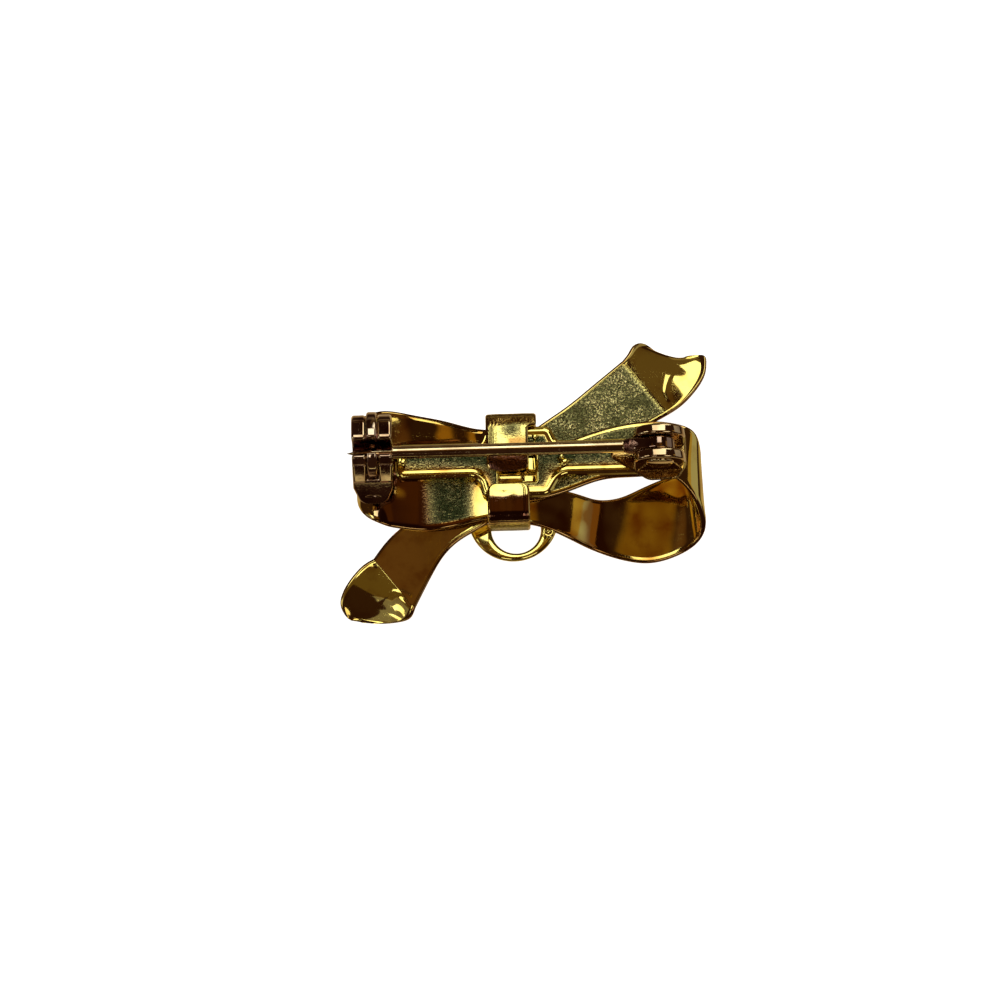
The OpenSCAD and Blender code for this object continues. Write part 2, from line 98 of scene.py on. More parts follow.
# Sections of the strips, as in the part. Edge a and edge b each have a share of the strip's reach
# along the pin, a share of its breadth across the bow and a height. The last column is 1 where the
# shares are of the knot's inside.
RIGHT_LOOP = [
    [0.03, 0.36, 2.00, 0.03, -0.54, 2.00, 1], [1.00, 0.41, 2.00, 1.00, -0.52, 2.00, 1],
    [0.33, 0.42, 2.00, 0.29, -0.24, 2.00, 0], [0.52, 0.56, 2.00, 0.47, -0.09, 2.00, 0],
    [0.72, 0.62, 2.00, 0.66, -0.08, 2.00, 0], [0.86, 0.58, 1.96, 0.80, -0.06, 1.96, 0],
    [0.94, 0.52, 1.78, 0.88, -0.14, 1.70, 0], [0.97, 0.44, 1.28, 0.94, -0.30, 1.25, 0],
    [0.98, 0.31, 0.82, 0.98, -0.45, 0.82, 0], [0.97, 0.19, 0.43, 1.00, -0.61, 0.44, 0],
    [0.93, 0.12, 0.15, 0.97, -0.76, 0.17, 0], [0.84, 0.08, 0.02, 0.88, -0.89, 0.03, 0],
    [0.69, -0.05, 0.00, 0.72, -1.00, 0.00, 0], [0.56, -0.19, 0.08, 0.56, -0.95, 0.07, 0],
    [0.43, -0.23, 0.27, 0.41, -0.84, 0.27, 0], [0.32, -0.18, 0.62, 0.30, -0.75, 0.66, 0],
    [1.00, -0.16, 0.95, 1.00, -0.93, 0.95, 1], [0.03, -0.14, 1.00, 0.03, -0.90, 1.00, 1],
]
LEFT_LOOP = [
    [0.03, -0.84, 2.00, 0.03, 0.06, 2.00, 1], [1.00, -0.86, 2.00, 1.00, 0.06, 2.00, 1],
    [0.38, -0.64, 2.00, 0.38, 0.06, 2.00, 0], [0.58, -0.66, 2.00, 0.58, 0.06, 2.00, 0],
    [0.76, -0.61, 2.00, 0.78, 0.07, 2.00, 0], [0.87, -0.56, 1.96, 0.90, 0.12, 1.90, 0],
    [0.95, -0.47, 1.62, 0.96, 0.23, 1.45, 0], [0.99, -0.34, 0.98, 0.99, 0.41, 0.90, 0],
    [1.00, -0.19, 0.58, 1.00, 0.65, 0.54, 0], [0.98, -0.04, 0.24, 0.99, 0.87, 0.26, 0],
    [0.90, 0.03, 0.04, 0.93, 0.98, 0.06, 0], [0.76, 0.07, 0.00, 0.79, 1.00, 0.01, 0],
    [0.60, 0.12, 0.08, 0.62, 0.92, 0.11, 0], [0.43, 0.13, 0.36, 0.43, 0.81, 0.40, 0],
    [0.28, 0.10, 0.70, 0.28, 0.68, 0.74, 0], [1.00, 0.11, 0.96, 1.00, 0.93, 0.96, 1],
    [0.03, 0.10, 1.00, 0.03, 0.90, 1.00, 1],
]
RIGHT_TAIL = [
    [1.00, 0.93, 1.00, 2.05, 0.20, 1.00, 1], [0.28, 0.50, 0.95, 0.43, 0.18, 0.95, 0],
    [0.43, 0.68, 0.87, 0.62, 0.30, 0.88, 0], [0.57, 0.85, 0.76, 0.79, 0.44, 0.76, 0],
]
RIGHT_TIP = [
    [0.60, 0.91, 0.66, 0.87, 0.53, 0.55, 0], [0.62, 0.97, 0.55, 0.95, 0.67, 0.34, 0],
    [0.65, 1.00, 0.42, 0.99, 0.78, 0.19, 0], [0.70, 0.98, 0.28, 1.00, 0.87, 0.10, 0],
    [0.77, 0.94, 0.17, 1.00, 0.92, 0.05, 0], [0.86, 0.92, 0.08, 0.98, 0.94, 0.01, 0],
]
LEFT_TAIL = [
    [2.05, -0.20, 1.00, 1.00, -0.92, 1.00, 1], [0.48, -0.21, 0.95, 0.30, -0.45, 0.95, 0],
    [0.64, -0.35, 0.90, 0.40, -0.56, 0.89, 0], [0.73, -0.45, 0.84, 0.48, -0.72, 0.83, 0],
    [0.80, -0.56, 0.76, 0.57, -0.93, 0.76, 0],
]
LEFT_TIP = [
    [0.87, -0.60, 0.63, 0.58, -0.96, 0.70, 0], [0.95, -0.70, 0.45, 0.60, -0.99, 0.61, 0],
    [0.99, -0.78, 0.29, 0.63, -1.00, 0.50, 0], [1.00, -0.84, 0.16, 0.69, -1.00, 0.36, 0],
    [0.98, -0.90, 0.07, 0.77, -0.99, 0.21, 0], [0.95, -0.93, 0.02, 0.86, -0.96, 0.11, 0],
]
TAIL_MIDDLE = [-0.54, 0.36, 1.00, 0.54, -0.36, 1.00, 1]

# Lines pressed into the tails' tips, and dimples in the left one: x, y, reach and depth. All of
# these and of the tables below are in millimetres.
LEFT_STREAK = [(-12.2, -9.75), (-11.5, -9.35), (-10.9, -9.2), (-10.3, -9.35), (-9.7, -9.75)]
RIGHT_STREAK = [(12.6, 9.3), (12.25, 8.7), (12.0, 7.9), (11.9, 7.3), (12.15, 6.6)]
DIMPLES = [(-9.8, -10.1, 1.3, 0.10), (-12.5, -6.9, 0.7, 0.07)]

# Corners of the outlines of the stamped bar and of the hinge's base, each with its radius
BAR_CORNERS = [
    (-10.6, -0.30, 0.65), (-3.80, -0.30, 0.90), (-3.35, -2.02, 0.70), (2.0, -2.02, 0.90),
    (3.05, -0.30, 1.2), (13.2, -0.30, 0.6), (13.2, 2.6, 0.6), (2.75, 2.6, 0.45),
    (2.2, 3.86, 0.85), (-3.2, 3.86, 0.85), (-3.7, 2.6, 0.45), (-10.6, 2.6, 0.65),
]
BASE_CORNERS = [
    (6.9, 1.25, 0.35), (8.6, 0.05, 0.9), (10.2, -1.0, 1.2), (12.6, -0.95, 0.8), (13.38, 0.2, 0.9),
    (13.38, 3.1, 0.8), (12.6, 3.6, 0.6), (10.0, 3.6, 0.9), (8.6, 2.5, 0.9),
]

# The bar's window: its left, bottom, right and top, and how far in and how high each ring of its
# rim lies. The facets in it have a start, an end, a far edge and a slope.
WINDOW = (-2.35, -1.05, 1.2, 2.6)
WINDOW_RIM = [(0.0, 0.0), (0.04, 0.05), (0.1, 0.06), (0.16, 0.03), (0.22, -0.02), (0.28, -0.1),
              (0.32, -0.42)]
FACETS = [(-2.05, -0.17, 0.6, -0.22), (-0.14, 0.9, 1.3, -0.205)]

# Small raised corners left by the stamping: x, y, how far each is turned in radians, and its size
NICKS = [(3.35, 0.75, 0.3, 0.8), (0.95, 3.0, 2.4, 0.5), (7.9, 2.1, 0.9, 0.5),
         (3.1, 1.25, 1.9, 0.45), (-10.0, 1.1, 0.9, 0.7), (-10.1, -0.1, 0.2, 0.35)]

# Collar between the pin's wire and its eye: places along the pin with their radii
COLLAR = [(0.9, 0.3), (1.4, 0.62), (1.8, 0.74), (2.0, 0.66), (2.15, 0.72), (2.3, 0.62),
          (2.45, 0.7), (2.65, 0.6), (3.0, 0.5)]

# Air round the pin in the catch, the turns that make a strip's end round, and the steps round the
# strip's rims
PIN_AIR = 0.09 * MM
END_TURNS = np.radians([25, 50, 70, 85])
RIM_STEPS = 8

# Soft boxes round the brooch: where each lies round it and up, and how wide and tall it is, all in
# degrees, with its radiance and its tint
SOFT_BOXES = {
    "ceiling strip": (90, 61, 30, 31, 2.4, (0.95, 1.0, 0.95)),
    "right lamp": (5, 36, 24, 12, 0.34, (1.0, 0.68, 0.2)),
    "far window": (70, 30, 28, 24, 2.4, (0.95, 1.0, 0.92)),
    "far wall": (58, 13, 66, 32, 0.09, (1.0, 0.75, 0.3)),
    "back wall": (90, -3, 50, 14, 0.16, (1.0, 0.85, 0.55)),
    "left window": (184.5, 44, 16, 24, 2.4, (0.95, 1.0, 0.95)),
    "right wall": (5, 8.5, 60, 43, 0.33, (1.0, 1.0, 1.0)),
    "left wall": (200, 12, 40, 30, 0.2, (1.0, 1.0, 1.0)),
    "left glow": (205, 40, 26, 30, 0.09, (1.0, 0.72, 0.2)),
    "left lamp": (207, 11, 14, 10, 2.4, (0.95, 1.0, 0.95)),
    "front band": (268, -11.5, 60, 3, 1.0, (1.0, 0.95, 0.5)),
    "front left box": (256, 42, 12, 16, 1.8, (1.0, 0.95, 0.85)),
    "front right box": (298, 42, 20, 20, 1.8, (1.0, 0.95, 0.85)),
}

# The dark room with its low light, and its soft glows: the way to each, the cosines at its edge and
# where it is full, and its colour
ROOM = (0.034, 0.014, 0.008, 1)
LOW_LIGHT = (0.50, 0.37, 0.20, 1)
GLOWS = [((-0.275, -0.020, 0.961), 0.955, 0.992, (0.12, 0.055, 0.022, 1)),
         ((0.14, 0.07, 0.988), 0.965, 0.990, (0.20, 0.10, 0.012, 1)),
         ((-0.819, 0.130, 0.559), 0.991, 0.9985, (0.36, 0.187, 0.025, 1))]


def length(name, description, millimetres):
    """A size in metres with its default in millimetres"""
    return FloatProperty(name=name, description=description, default=millimetres * MM,
                         unit="LENGTH", precision=5)


def angle(name, description, degrees):
    """An angle with its default in degrees"""
    return FloatProperty(name=name, description=description, default=math.radians(degrees),
                         subtype="ANGLE")


def colour(name, description, *value):
    """A colour of a finish"""
    return FloatVectorProperty(name=name, description=description, default=value, size=3,
                               subtype="COLOR", min=0, max=1)


class BowSizes(bpy.types.PropertyGroup):
    """Sizes of the bow's sheets"""
    sheet: length("Sheet", "Thickness of the bow's sheet", 0.45)
    gap: length("Gap", "Air between the sheets in the knot", 0.12)
    height: length("Loop height", "Height of a loop at mid thickness", 4.35)
    loop_right: length("Right loop", "Reach of the right loop from the knot's middle", 15.8)
    loop_left: length("Left loop", "Reach of the left loop from the knot's middle", 12.7)
    loop_breadth: length("Loop breadth", "Reach of both loops across the bow", 6.85)
    tail_right: length("Right tail", "Reach of the right tail from the knot's middle", 16.5)
    tail_left: length("Left tail", "Reach of the left tail from the knot's middle", 14.5)
    tail_breadth: length("Tail breadth", "Reach of both tails across the bow", 11.6)
    wave: length("Waviness", "Depth of the sheet's soft waves", 0.035)
    cup: length("Cup", "Depth of the hollow in the tails' tips", 0.3)


class TrimSizes(bpy.types.PropertyGroup):
    """Sizes of the knot, the bar and the pin back"""
    bend: length("Bend", "Outer radius of the knot band's bends", 1.1)
    tab: length("Tab", "Width of the knot band's tabs", 3.5)
    tab_upper: length("Upper tab", "Length of the upper tab from its bend", 4.85)
    tab_lower: length("Lower tab", "Length of the lower tab from its bend", 3.7)
    bar: length("Bar", "Thickness of the stamped bar", 0.6)
    bevel: length("Bevel", "Width of the bar's rounded rim", 0.95)
    ear: length("Ear", "Radius of the hinge ears", 2.15)
    ear_sheet: length("Ear sheet", "Thickness of a hinge ear", 0.85)
    ear_flat: FloatProperty(name="Ear crest", default=0.83,
                            description="1 for a round ear, less for a flat crest")
    eye: length("Eye", "Radius of the pin's eye", 1.25)
    eye_width: length("Eye width", "Width of the pin's eye", 1.1)
    pin: length("Pin", "Radius of the pin's wire", 0.53)
    point: length("Point", "Length of the pin's tapered point", 3.3)
    hook: length("Hook", "Radius of the catch's hook disc", 2.75)
    hook_sheet: length("Hook sheet", "Thickness of the hook disc", 0.85)
    sleeve: length("Sleeve", "Outer radius of the turning sleeve", 2.5)
    sleeve_wall: length("Sleeve wall", "Wall of the turning sleeve", 0.42)
    sleeve_length: length("Sleeve length", "Length of the sleeve along the pin", 3.3)
    thumb: length("Thumb tab", "Length of the thumb tab from the sleeve", 4.4)
    thumb_tip: length("Thumb tip", "Width of the thumb tab at its tip", 2.2)
    thumb_bend: length("Thumb bend", "How far the thumb tab's tip bends towards the bow", 0.3)


class Finishes(bpy.types.PropertyGroup):
    """Colours of the plating, of its painted shade and of the table"""
    gold: colour("Gold", "Colour of the gilt sheet", 0.90, 0.74, 0.20)
    # Deep gold is the gilt's colour in painted shade and painted dark reflection, where the dark
    # mark lies
    deep: colour("Deep gold", "Colour of the gilt where it has darkened", 0.44, 0.20, 0.03)
    frosted: colour("Frosted", "Colour of the granular gilt between its pits", 0.80, 0.75, 0.42)
    # The pits' colour is painted shade in the hollows of the granular gilt
    pitted: colour("Pitted", "Colour of the pits in the granular gilt", 0.11, 0.105, 0.035)
    # The pits' colour where the dark mark paints shade over them: painted shade
    sooty: colour("Sooty", "Colour of the pits where the gilt has darkened", 0.035, 0.045, 0.015)
    rose: colour("Rose", "Colour of the pin back's plating", 0.84, 0.66, 0.45)
    # Wine is the rose plating's colour in painted shade and painted dark reflection, where the dark
    # mark lies
    wine: colour("Wine", "Colour of the pin back where it has darkened", 0.17, 0.072, 0.048)
    floor: colour("Floor", "Colour of the table", 1.0, 1.0, 1.0)


class StageSizes(bpy.types.PropertyGroup):
    """Place of the camera over the brooch"""
    elevation: angle("Elevation", "Camera's height over the table", 75)
    roll: angle("Roll", "How far the brooch is turned in the picture", 1.6)
    view: length("View", "Width of the picture at the brooch", 83.33)
    distance: length("Distance", "From the camera to the brooch", 420)
    middle_across: length("Middle across", "Picture's middle along the pin", -2.04)
    middle_up: length("Middle up", "Picture's middle up the picture", -0.875)


def curve(rows, steps):
    """Smooth curve through rows of numbers, with a number of steps between two rows"""
    rows = np.asarray(rows, float)
    last = len(rows) - 1
    points = []
    for i in range(last):
        p, q, r, s = rows[max(i - 1, 0)], rows[i], rows[i + 1], rows[min(i + 2, last)]
        for f in np.arange(steps) / steps:
            points.append(q + f * (r - p) / 2 + f ** 2 * (2 * p - 5 * q + 4 * r - s) / 2
                          + f ** 3 * (3 * q - p - 3 * r + s) / 2)
    return np.array(points + [rows[-1]])


def relaxed(rows, passes, closed=False):
    """Rows whose neighbours are averaged a number of times"""
    rows = np.array(rows, float)
    for _ in range(passes):
        mean = (np.roll(rows, 1, 0) + 2 * rows + np.roll(rows, -1, 0)) / 4
        if not closed:
            mean[0], mean[-1] = rows[0], rows[-1]
        rows = mean
    return rows


def unit(vectors):
    """The same directions with a length of 1"""
    return vectors / np.maximum(np.linalg.norm(vectors, axis=-1, keepdims=True), 1e-12)


def bump(distance, width):
    """Soft hump that is 1 at no distance and 0 at its width"""
    share = np.clip(np.abs(distance) / width, 0, 1)
    return (1 - share ** 2) ** 2


def ramp(value, start, end):
    """0 up to the start and 1 from the end, softly between"""
    share = np.clip((value - start) / (end - start), 0, 1)
    return share * share * (3 - 2 * share)


def span(value, start, full, fade, end):
    """1 from full to fade, softly down to 0 at the start and the end"""
    return ramp(value, start, full) * (1 - ramp(value, fade, end))


def within(share, start, full):
    """0 near both ends of a share from 0 to 1, and 1 between"""
    return ramp(np.minimum(share, 1 - share), start, full)


def arc(corners, i, spacing=None, steps=None):
    """Points of the arc that rounds a corner, by their spacing or the number of steps"""
    radius = corners[i][2]
    here = np.array(corners[i][:2])
    ways = [unit(np.array(corners[k % len(corners)][:2]) - here) for k in (i - 1, i + 1)]
    half = math.acos(np.clip(ways[0] @ ways[1], -1, 1)) / 2
    middle = here + unit(ways[0] + ways[1]) * radius / math.sin(half)
    first, last = (here + way * radius / math.tan(half) - middle for way in ways)
    sweep = math.atan2(first[0] * last[1] - first[1] * last[0], first @ last)
    steps = steps or max(2, math.ceil(abs(sweep) * radius / spacing))
    turns = np.linspace(0, sweep, steps + 1)[:, None]
    return middle + np.cos(turns) * first + np.sin(turns) * [-first[1], first[0]]


def rounded(corners, spacing, closed=True):
    """Points along straight lines and arcs through corners, each an x, a y and its radius"""
    last = len(corners) - 1
    parts = [arc(corners, i, spacing) if closed or 0 < i < last else [corners[i][:2]]
             for i in range(last + 1)]
    return evened(np.vstack(parts), spacing, closed)


def stepped(corners, arc_steps, line_steps):
    """Points along a closed outline, with a number of steps on each arc and on each line"""
    arcs = [arc(corners, i, steps=arc_steps) for i in range(len(corners))]
    shares = np.linspace(0, 1, line_steps + 1)[1:-1, None]
    return np.vstack([np.vstack([this, this[-1] + shares * (after[0] - this[-1])])
                      for this, after in zip(arcs, arcs[1:] + arcs[:1])])


def moved_in(corners, distance):
    """Corners of a closed outline that runs anticlockwise, moved inwards with their radii"""
    moved = []
    for i, (x, y, radius) in enumerate(corners):
        here = np.array([x, y])
        back = unit(here - np.array(corners[i - 1][:2]))
        on = unit(np.array(corners[(i + 1) % len(corners)][:2]) - here)
        turn = back[0] * on[1] - back[1] * on[0]
        side = np.array([-back[1] - on[1], back[0] + on[0]]) / (1 + back @ on)
        moved.append((*(here + distance * side),
                      max(0.1 * radius, radius - math.copysign(distance, turn))))
    return moved


def evened(points, spacing, closed=True):
    """The same line with its points at an even spacing"""
    points = np.asarray(points, float)
    if closed:
        points = np.vstack([points, points[:1]])
    run = run_along(points)
    steps = max(3, round(run[-1] / spacing))
    places = np.linspace(0, run[-1], steps + 1)[:-1 if closed else None]
    return np.stack([np.interp(places, run, column) for column in points.T], 1)


def run_along(points):
    """How far each point lies along its line"""
    return np.append(0, np.cumsum(np.linalg.norm(np.diff(points, axis=0), axis=1)))


def softened(parts, spacing, passes):
    """Closed outline through its parts, with an even spacing and softer corners"""
    return relaxed(evened(np.vstack(parts), spacing), passes, closed=True)


def circle(x, y, radius, start, end, steps):
    """Points along a part of a circle"""
    angles = np.linspace(start, end, steps)
    return np.stack([x + radius * np.cos(angles), y + radius * np.sin(angles)], 1)


def oblong(left, right, low, high, radius):
    """Corners of an oblong outline that runs anticlockwise"""
    return [(left, low, radius), (right, low, radius), (right, high, radius), (left, high, radius)]


def inset(outline, distance):
    """A closed outline that runs anticlockwise, moved inwards"""
    along = unit(np.roll(outline, -1, 0) - np.roll(outline, 1, 0))
    return outline + distance * np.stack([-along[:, 1], along[:, 0]], 1)


class Form:
    """Points, faces and finish marks of one piece while it is being made"""

    def __init__(self):
        self.points = []
        self.faces = []
        # The dark mark is painted shade and painted dark reflection; rose is the rose plating,
        # which gilt pieces also use for wine-coloured painted shade
        self.marks = {"grain": [], "rose": [], "dark": []}

    def add(self, points, **marks):
        """Adds an array of points and returns their numbers, in the array's own shape"""
        points = np.asarray(points, float)
        shape = points.shape[:-1]
        start = len(self.points)
        self.points.extend(points.reshape(-1, 3))
        for name, values in self.marks.items():
            values.extend(np.broadcast_to(marks.get(name, 0.0), shape).ravel())
        return np.arange(start, len(self.points)).reshape(shape)

    def skin(self, numbers):
        """Joins closed rings of points with faces"""
        for ring, after in zip(numbers[:-1], numbers[1:]):
            self.faces.extend(zip(ring, np.roll(ring, -1), np.roll(after, -1), after))

    def lid(self, ring, pair):
        """Closes a flat ring whose point i lies opposite the point at pair minus i"""
        count = len(ring)
        for i in range(count):
            a, b = (pair - i) % count, (pair - i - 1) % count
            if i < min(a, b) and (i + 1) % count != a:
                self.faces.append((ring[i], ring[(i + 1) % count], ring[b], ring[a]))

    def cover(self, *rings):
        """Fills the area between an outer ring of points and the holes in it"""
        flat = np.concatenate(rings)
        loops = [[Vector(self.points[i]) for i in ring] for ring in rings]
        for triangle in tessellate_polygon(loops):
            self.faces.append(tuple(flat[i] for i in triangle))

    def piece(self, name, finish):
        """Makes the object with one finish, its faces outwards and its normals weighed by area"""
        mesh = bpy.data.meshes.new(name)
        mesh.from_pydata([tuple(point) for point in self.points], [],
                         [tuple(int(number) for number in face) for face in self.faces])
        for mark, values in self.marks.items():
            attribute = mesh.attributes.new(mark, "FLOAT", "POINT")
            attribute.data.foreach_set("value", np.array(values, np.float32))
        mesh.validate()
        mesh.shade_smooth()
        mesh.materials.append(finish)
        made = bpy.data.objects.new(name, mesh)
        bpy.context.scene.collection.objects.link(made)
        bpy.ops.object.select_all(action="DESELECT")
        bpy.context.view_layer.objects.active = made
        made.select_set(True)
        bpy.ops.object.mode_set(mode="EDIT")
        bpy.ops.mesh.select_all(action="SELECT")
        bpy.ops.mesh.normals_make_consistent(inside=False)
        bpy.ops.object.mode_set(mode="OBJECT")
        made.modifiers.new("even shading", "WEIGHTED_NORMAL").weight = 80
        return made


def waves(points, depth, size, seed):
    """Soft waves over a sheet, worked out from where its points lie"""
    shift = Vector((seed * 7.3, seed * 3.1, seed * 5.7))
    values = [noise.noise(Vector(point) / size + shift) for point in points.reshape(-1, 3)]
    return depth * np.array(values).reshape(points.shape[:-1])


def streaks(u, v, depth, along, across, seed):
    """Shallow ripples that run along a strip, from the shares along and across it"""
    values = [noise.noise(Vector((a * along, b * across, seed)))
              for a, b in zip(u.ravel(), v.ravel())]
    return depth * np.array(values).reshape(u.shape)


def near(points, x, y, reach):
    """Soft hump round a place seen from above, in millimetres"""
    return bump(np.hypot(points[..., 0] / MM - x, points[..., 1] / MM - y), reach)


def ridge(points, line, reach=0.27):
    """Soft hump along a line seen from above, in millimetres"""
    flat = points[..., :2] / MM
    gaps = []
    for start, end in zip(np.array(line[:-1]), np.array(line[1:])):
        share = np.clip((flat - start) @ (end - start) / ((end - start) @ (end - start)), 0, 1)
        gaps.append(np.linalg.norm(flat - start - share[..., None] * (end - start), axis=-1))
    return bump(np.min(gaps, axis=0), reach)


def round_end(sections, sheet):
    """Rows past the first section of a strip, which make its end round"""
    first = sections[0]
    out = unit((first - sections[1]).reshape(2, 3))
    side = unit(first[3:] - first[:3])
    rows = []
    for turn in END_TURNS:
        shift = sheet / 2 * math.sin(turn) * out
        pull = sheet / 2 * (1 - math.cos(turn)) * side
        rows.append(first + np.concatenate([shift[0] + pull, shift[1] - pull]))
    return np.array(rows)


def ribbon(form, sections, sheet, marks, dent=None, across=18, far_end=True, roll=np.zeros_like):
    """Adds a strip of sheet through a list of sections, with round rims and round ends.

    Each section is edge a and edge b at mid thickness. Shares u along the strip and v across it
    go to the three functions: marks gives the finish of the inner face, the outer face and the
    rims, dent how far the sheet is pushed towards its inner face, and roll how far the rims bend
    that way, as a share of the sheet.
    """
    sections = np.asarray(sections, float)
    count = len(sections)
    before = round_end(sections, sheet)[::-1]
    after = round_end(sections[::-1], sheet) if far_end else sections[:0]
    sections = np.vstack([before, sections, after])
    thin = np.cos(END_TURNS)
    half = sheet / 2 * np.concatenate([thin[::-1], np.ones(count), thin[:len(after)]])
    half = half[:, None, None]
    share = np.clip((np.arange(len(sections)) - len(before)) / (count - 1), 0, 1)
    a, b = sections[:, None, :3], sections[:, None, 3:]
    width = np.linalg.norm(b - a, axis=2, keepdims=True)
    k = (0.5 - 0.5 * np.cos(np.linspace(0, math.pi, across)))[None, :, None]
    middle = a + (b - a) * (half + k * (width - 2 * half)) / width
    side = unit(b - a)
    normal = unit(np.cross(np.gradient(middle, axis=0), np.broadcast_to(side, middle.shape)))
    u = np.broadcast_to(share[:, None], middle.shape[:2])
    v = np.broadcast_to(k[:, :, 0], middle.shape[:2])
    lip = 0.6 * sheet
    from_rim = np.minimum(v, 1 - v) * width[..., 0]
    bend = roll(share)[:, None] * sheet * np.clip(1 - from_rim / lip, 0, 1) ** 2
    middle = middle + normal * bend[..., None]
    if dent is not None:
        middle = middle + normal * dent(u, v, middle)[..., None]
    turn = np.radians(np.linspace(90, -90, RIM_STEPS + 2)[1:-1])[None, :, None]
    rim_b = middle[:, -1:] + half * (side * np.cos(turn) + normal[:, -1:] * np.sin(turn))
    rim_a = middle[:, :1] - half * (side * np.cos(turn) + normal[:, :1] * np.sin(turn))
    outer = (middle - half * normal)[:, ::-1]
    rings = np.concatenate([middle + half * normal, rim_b, outer, rim_a], axis=1)
    rims = np.zeros((len(sections), RIM_STEPS))
    finish = {name: np.concatenate([inner + 0 * u, rims + rim, (back + 0 * u)[:, ::-1],
                                    rims + rim], axis=1)
              for name, (inner, back, rim) in marks(u, v).items()}
    numbers = form.add(rings, **finish)
    form.skin(numbers)
    for ring in (numbers[0], numbers[-1]):
        form.lid(ring, 2 * across + RIM_STEPS - 1)


def plate(form, outline, levels, place, **marks):
    """Adds a solid from a flat outline: each level is how far it is inset and its height"""
    rings = [place(inset(outline, distance), height) for distance, height in levels]
    numbers = form.add(np.array(rings), **marks)
    form.skin(numbers)
    form.cover(numbers[0])
    form.cover(numbers[-1])


def edge_levels(low, high, radius, steps=6):
    """Levels of a plate whose edges are round on both sides"""
    lower = [(radius * (1 - math.sin(turn)), low + radius * (1 - math.cos(turn)))
             for turn in np.linspace(0, math.pi / 2, steps + 1)]
    return lower + [(distance, high + low - height) for distance, height in lower[::-1]]


def lying(flat, height):
    """Place for an outline drawn as seen from above, whose heights run upwards"""
    return np.column_stack([flat, np.full(len(flat), height)])


def upright(y):
    """Place for an outline drawn along the pin and upwards, whose heights run across the bow"""
    return lambda flat, height: np.insert(flat, 1, y + height, axis=1)


def lengthways(x):
    """Place for an outline drawn across the bow and upwards, whose heights run along the pin"""
    return lambda flat, height: np.insert(flat, 0, x + height, axis=1)


def turned(form, profile, origin, axis, steps=48, **marks):
    """Adds a round body: each row of the profile is a place along the axis and a radius"""
    axis = np.array(axis, float)
    first = unit(np.cross(axis, [0.3, 0.5, 0.8]))
    angles = np.linspace(0, 2 * math.pi, steps, endpoint=False)[:, None]
    spokes = np.cos(angles) * first + np.sin(angles) * np.cross(axis, first)
    rings = [origin + along * axis + radius * spokes for along, radius in profile]
    numbers = form.add(np.array(rings), **marks)
    form.skin(numbers)
    form.faces.extend([tuple(numbers[0]), tuple(numbers[-1])])


def sheet_levels(bow):
    """Heights of the bow's sheets at mid thickness"""
    floor = bow.sheet / 2
    back = floor + bow.height
    tail = back - bow.sheet - bow.gap
    return floor, tail - bow.sheet - bow.gap, tail, back


def edges(rows, side, reach, breadth, level):
    """Edge a and edge b of each row of a table"""
    inside = [(KNOT_HIGH[0] - KNOT_LOW[0]) / 2,
              (KNOT_HIGH[1] - KNOT_LOW[1]) / 2 - bpy.context.scene.brooch_bow.sheet]
    made = []
    for *shares, in_knot in rows:
        wide, deep = inside if in_knot else (reach, breadth)
        made.append([value for x, y, z in (shares[:3], shares[3:])
                     for value in (KNOT[0] + side * x * wide, KNOT[1] + y * deep, level(z))])
    return np.array(made)


class Value:
    """A socket of a shader, so that maths on it is written as an expression"""

    def __init__(self, tree, socket):
        self.tree = tree
        self.socket = socket

    def math(self, operation, *values, clamp=False):
        return self.tree.node("ShaderNodeMath", {"operation": operation, "use_clamp": clamp},
                              dict(enumerate(values)))

    def __add__(self, other):
        return self.math("ADD", self, other)

    def __mul__(self, other):
        return self.math("MULTIPLY", self, other)

    def __sub__(self, other):
        return self.math("SUBTRACT", self, other)

    def __rsub__(self, other):
        return self.math("SUBTRACT", other, self)

    __radd__ = __add__
    __rmul__ = __mul__

    def over(self, start, end):
        """0 up to the start and 1 from the end, softly between"""
        return self.tree.node("ShaderNodeMapRange", {"interpolation_type": "SMOOTHSTEP"},
                              {"Value": self, "From Min": start, "From Max": end})

    def clamped(self):
        """The same value, held between 0 and 1"""
        return self.math("ADD", self, 0.0, clamp=True)


class Nodes:
    """The nodes of a material or of the room"""

    def __init__(self, tree):
        self.nodes = tree.nodes
        self.links = tree.links

    def node(self, kind, settings=None, inputs=None, output=0):
        """Adds a node with its settings and its sockets' values, and gives one output"""
        made = self.nodes.new(kind)
        for name, value in (settings or {}).items():
            setattr(made, name, value)
        for name, value in (inputs or {}).items():
            self.feed(made.inputs[name], value)
        return Value(self, made.outputs[output])

    def feed(self, socket, value):
        if isinstance(value, Value):
            self.links.new(value.socket, socket)
        else:
            socket.default_value = value

    def mix(self, factor, a, b):
        """Colour a where the factor is 0, and b where it is 1"""
        return self.node("ShaderNodeMix", {"data_type": "RGBA"},
                         {"Factor": factor, 6: a, 7: b}, output=2)

    def vector(self, operation, inputs, output=0):
        return self.node("ShaderNodeVectorMath", {"operation": operation}, inputs, output)


class Finish(Nodes):
    """A material of this brooch"""

    def __init__(self, name):
        self.material = bpy.data.materials.new(name)
        self.material.use_nodes = True
        super().__init__(self.material.node_tree)

    def set(self, name, value):
        self.feed(self.nodes["Principled BSDF"].inputs[name], value)

    def noise(self, place, scale, detail=2.0, roughness=0.5):
        return self.node("ShaderNodeTexNoise", {}, {"Vector": place, "Scale": scale,
                                                    "Detail": detail, "Roughness": roughness})

    def scratches(self, place, stretch, start):
        """Thin lines, from noise that is stretched more across them than along them"""
        stretched = self.vector("MULTIPLY", {0: place, 1: stretch})
        return self.noise(stretched, 1.0).over(start, 0.70)

    def mark(self, name):
        return self.node("ShaderNodeAttribute", {"attribute_name": name}, output="Fac")


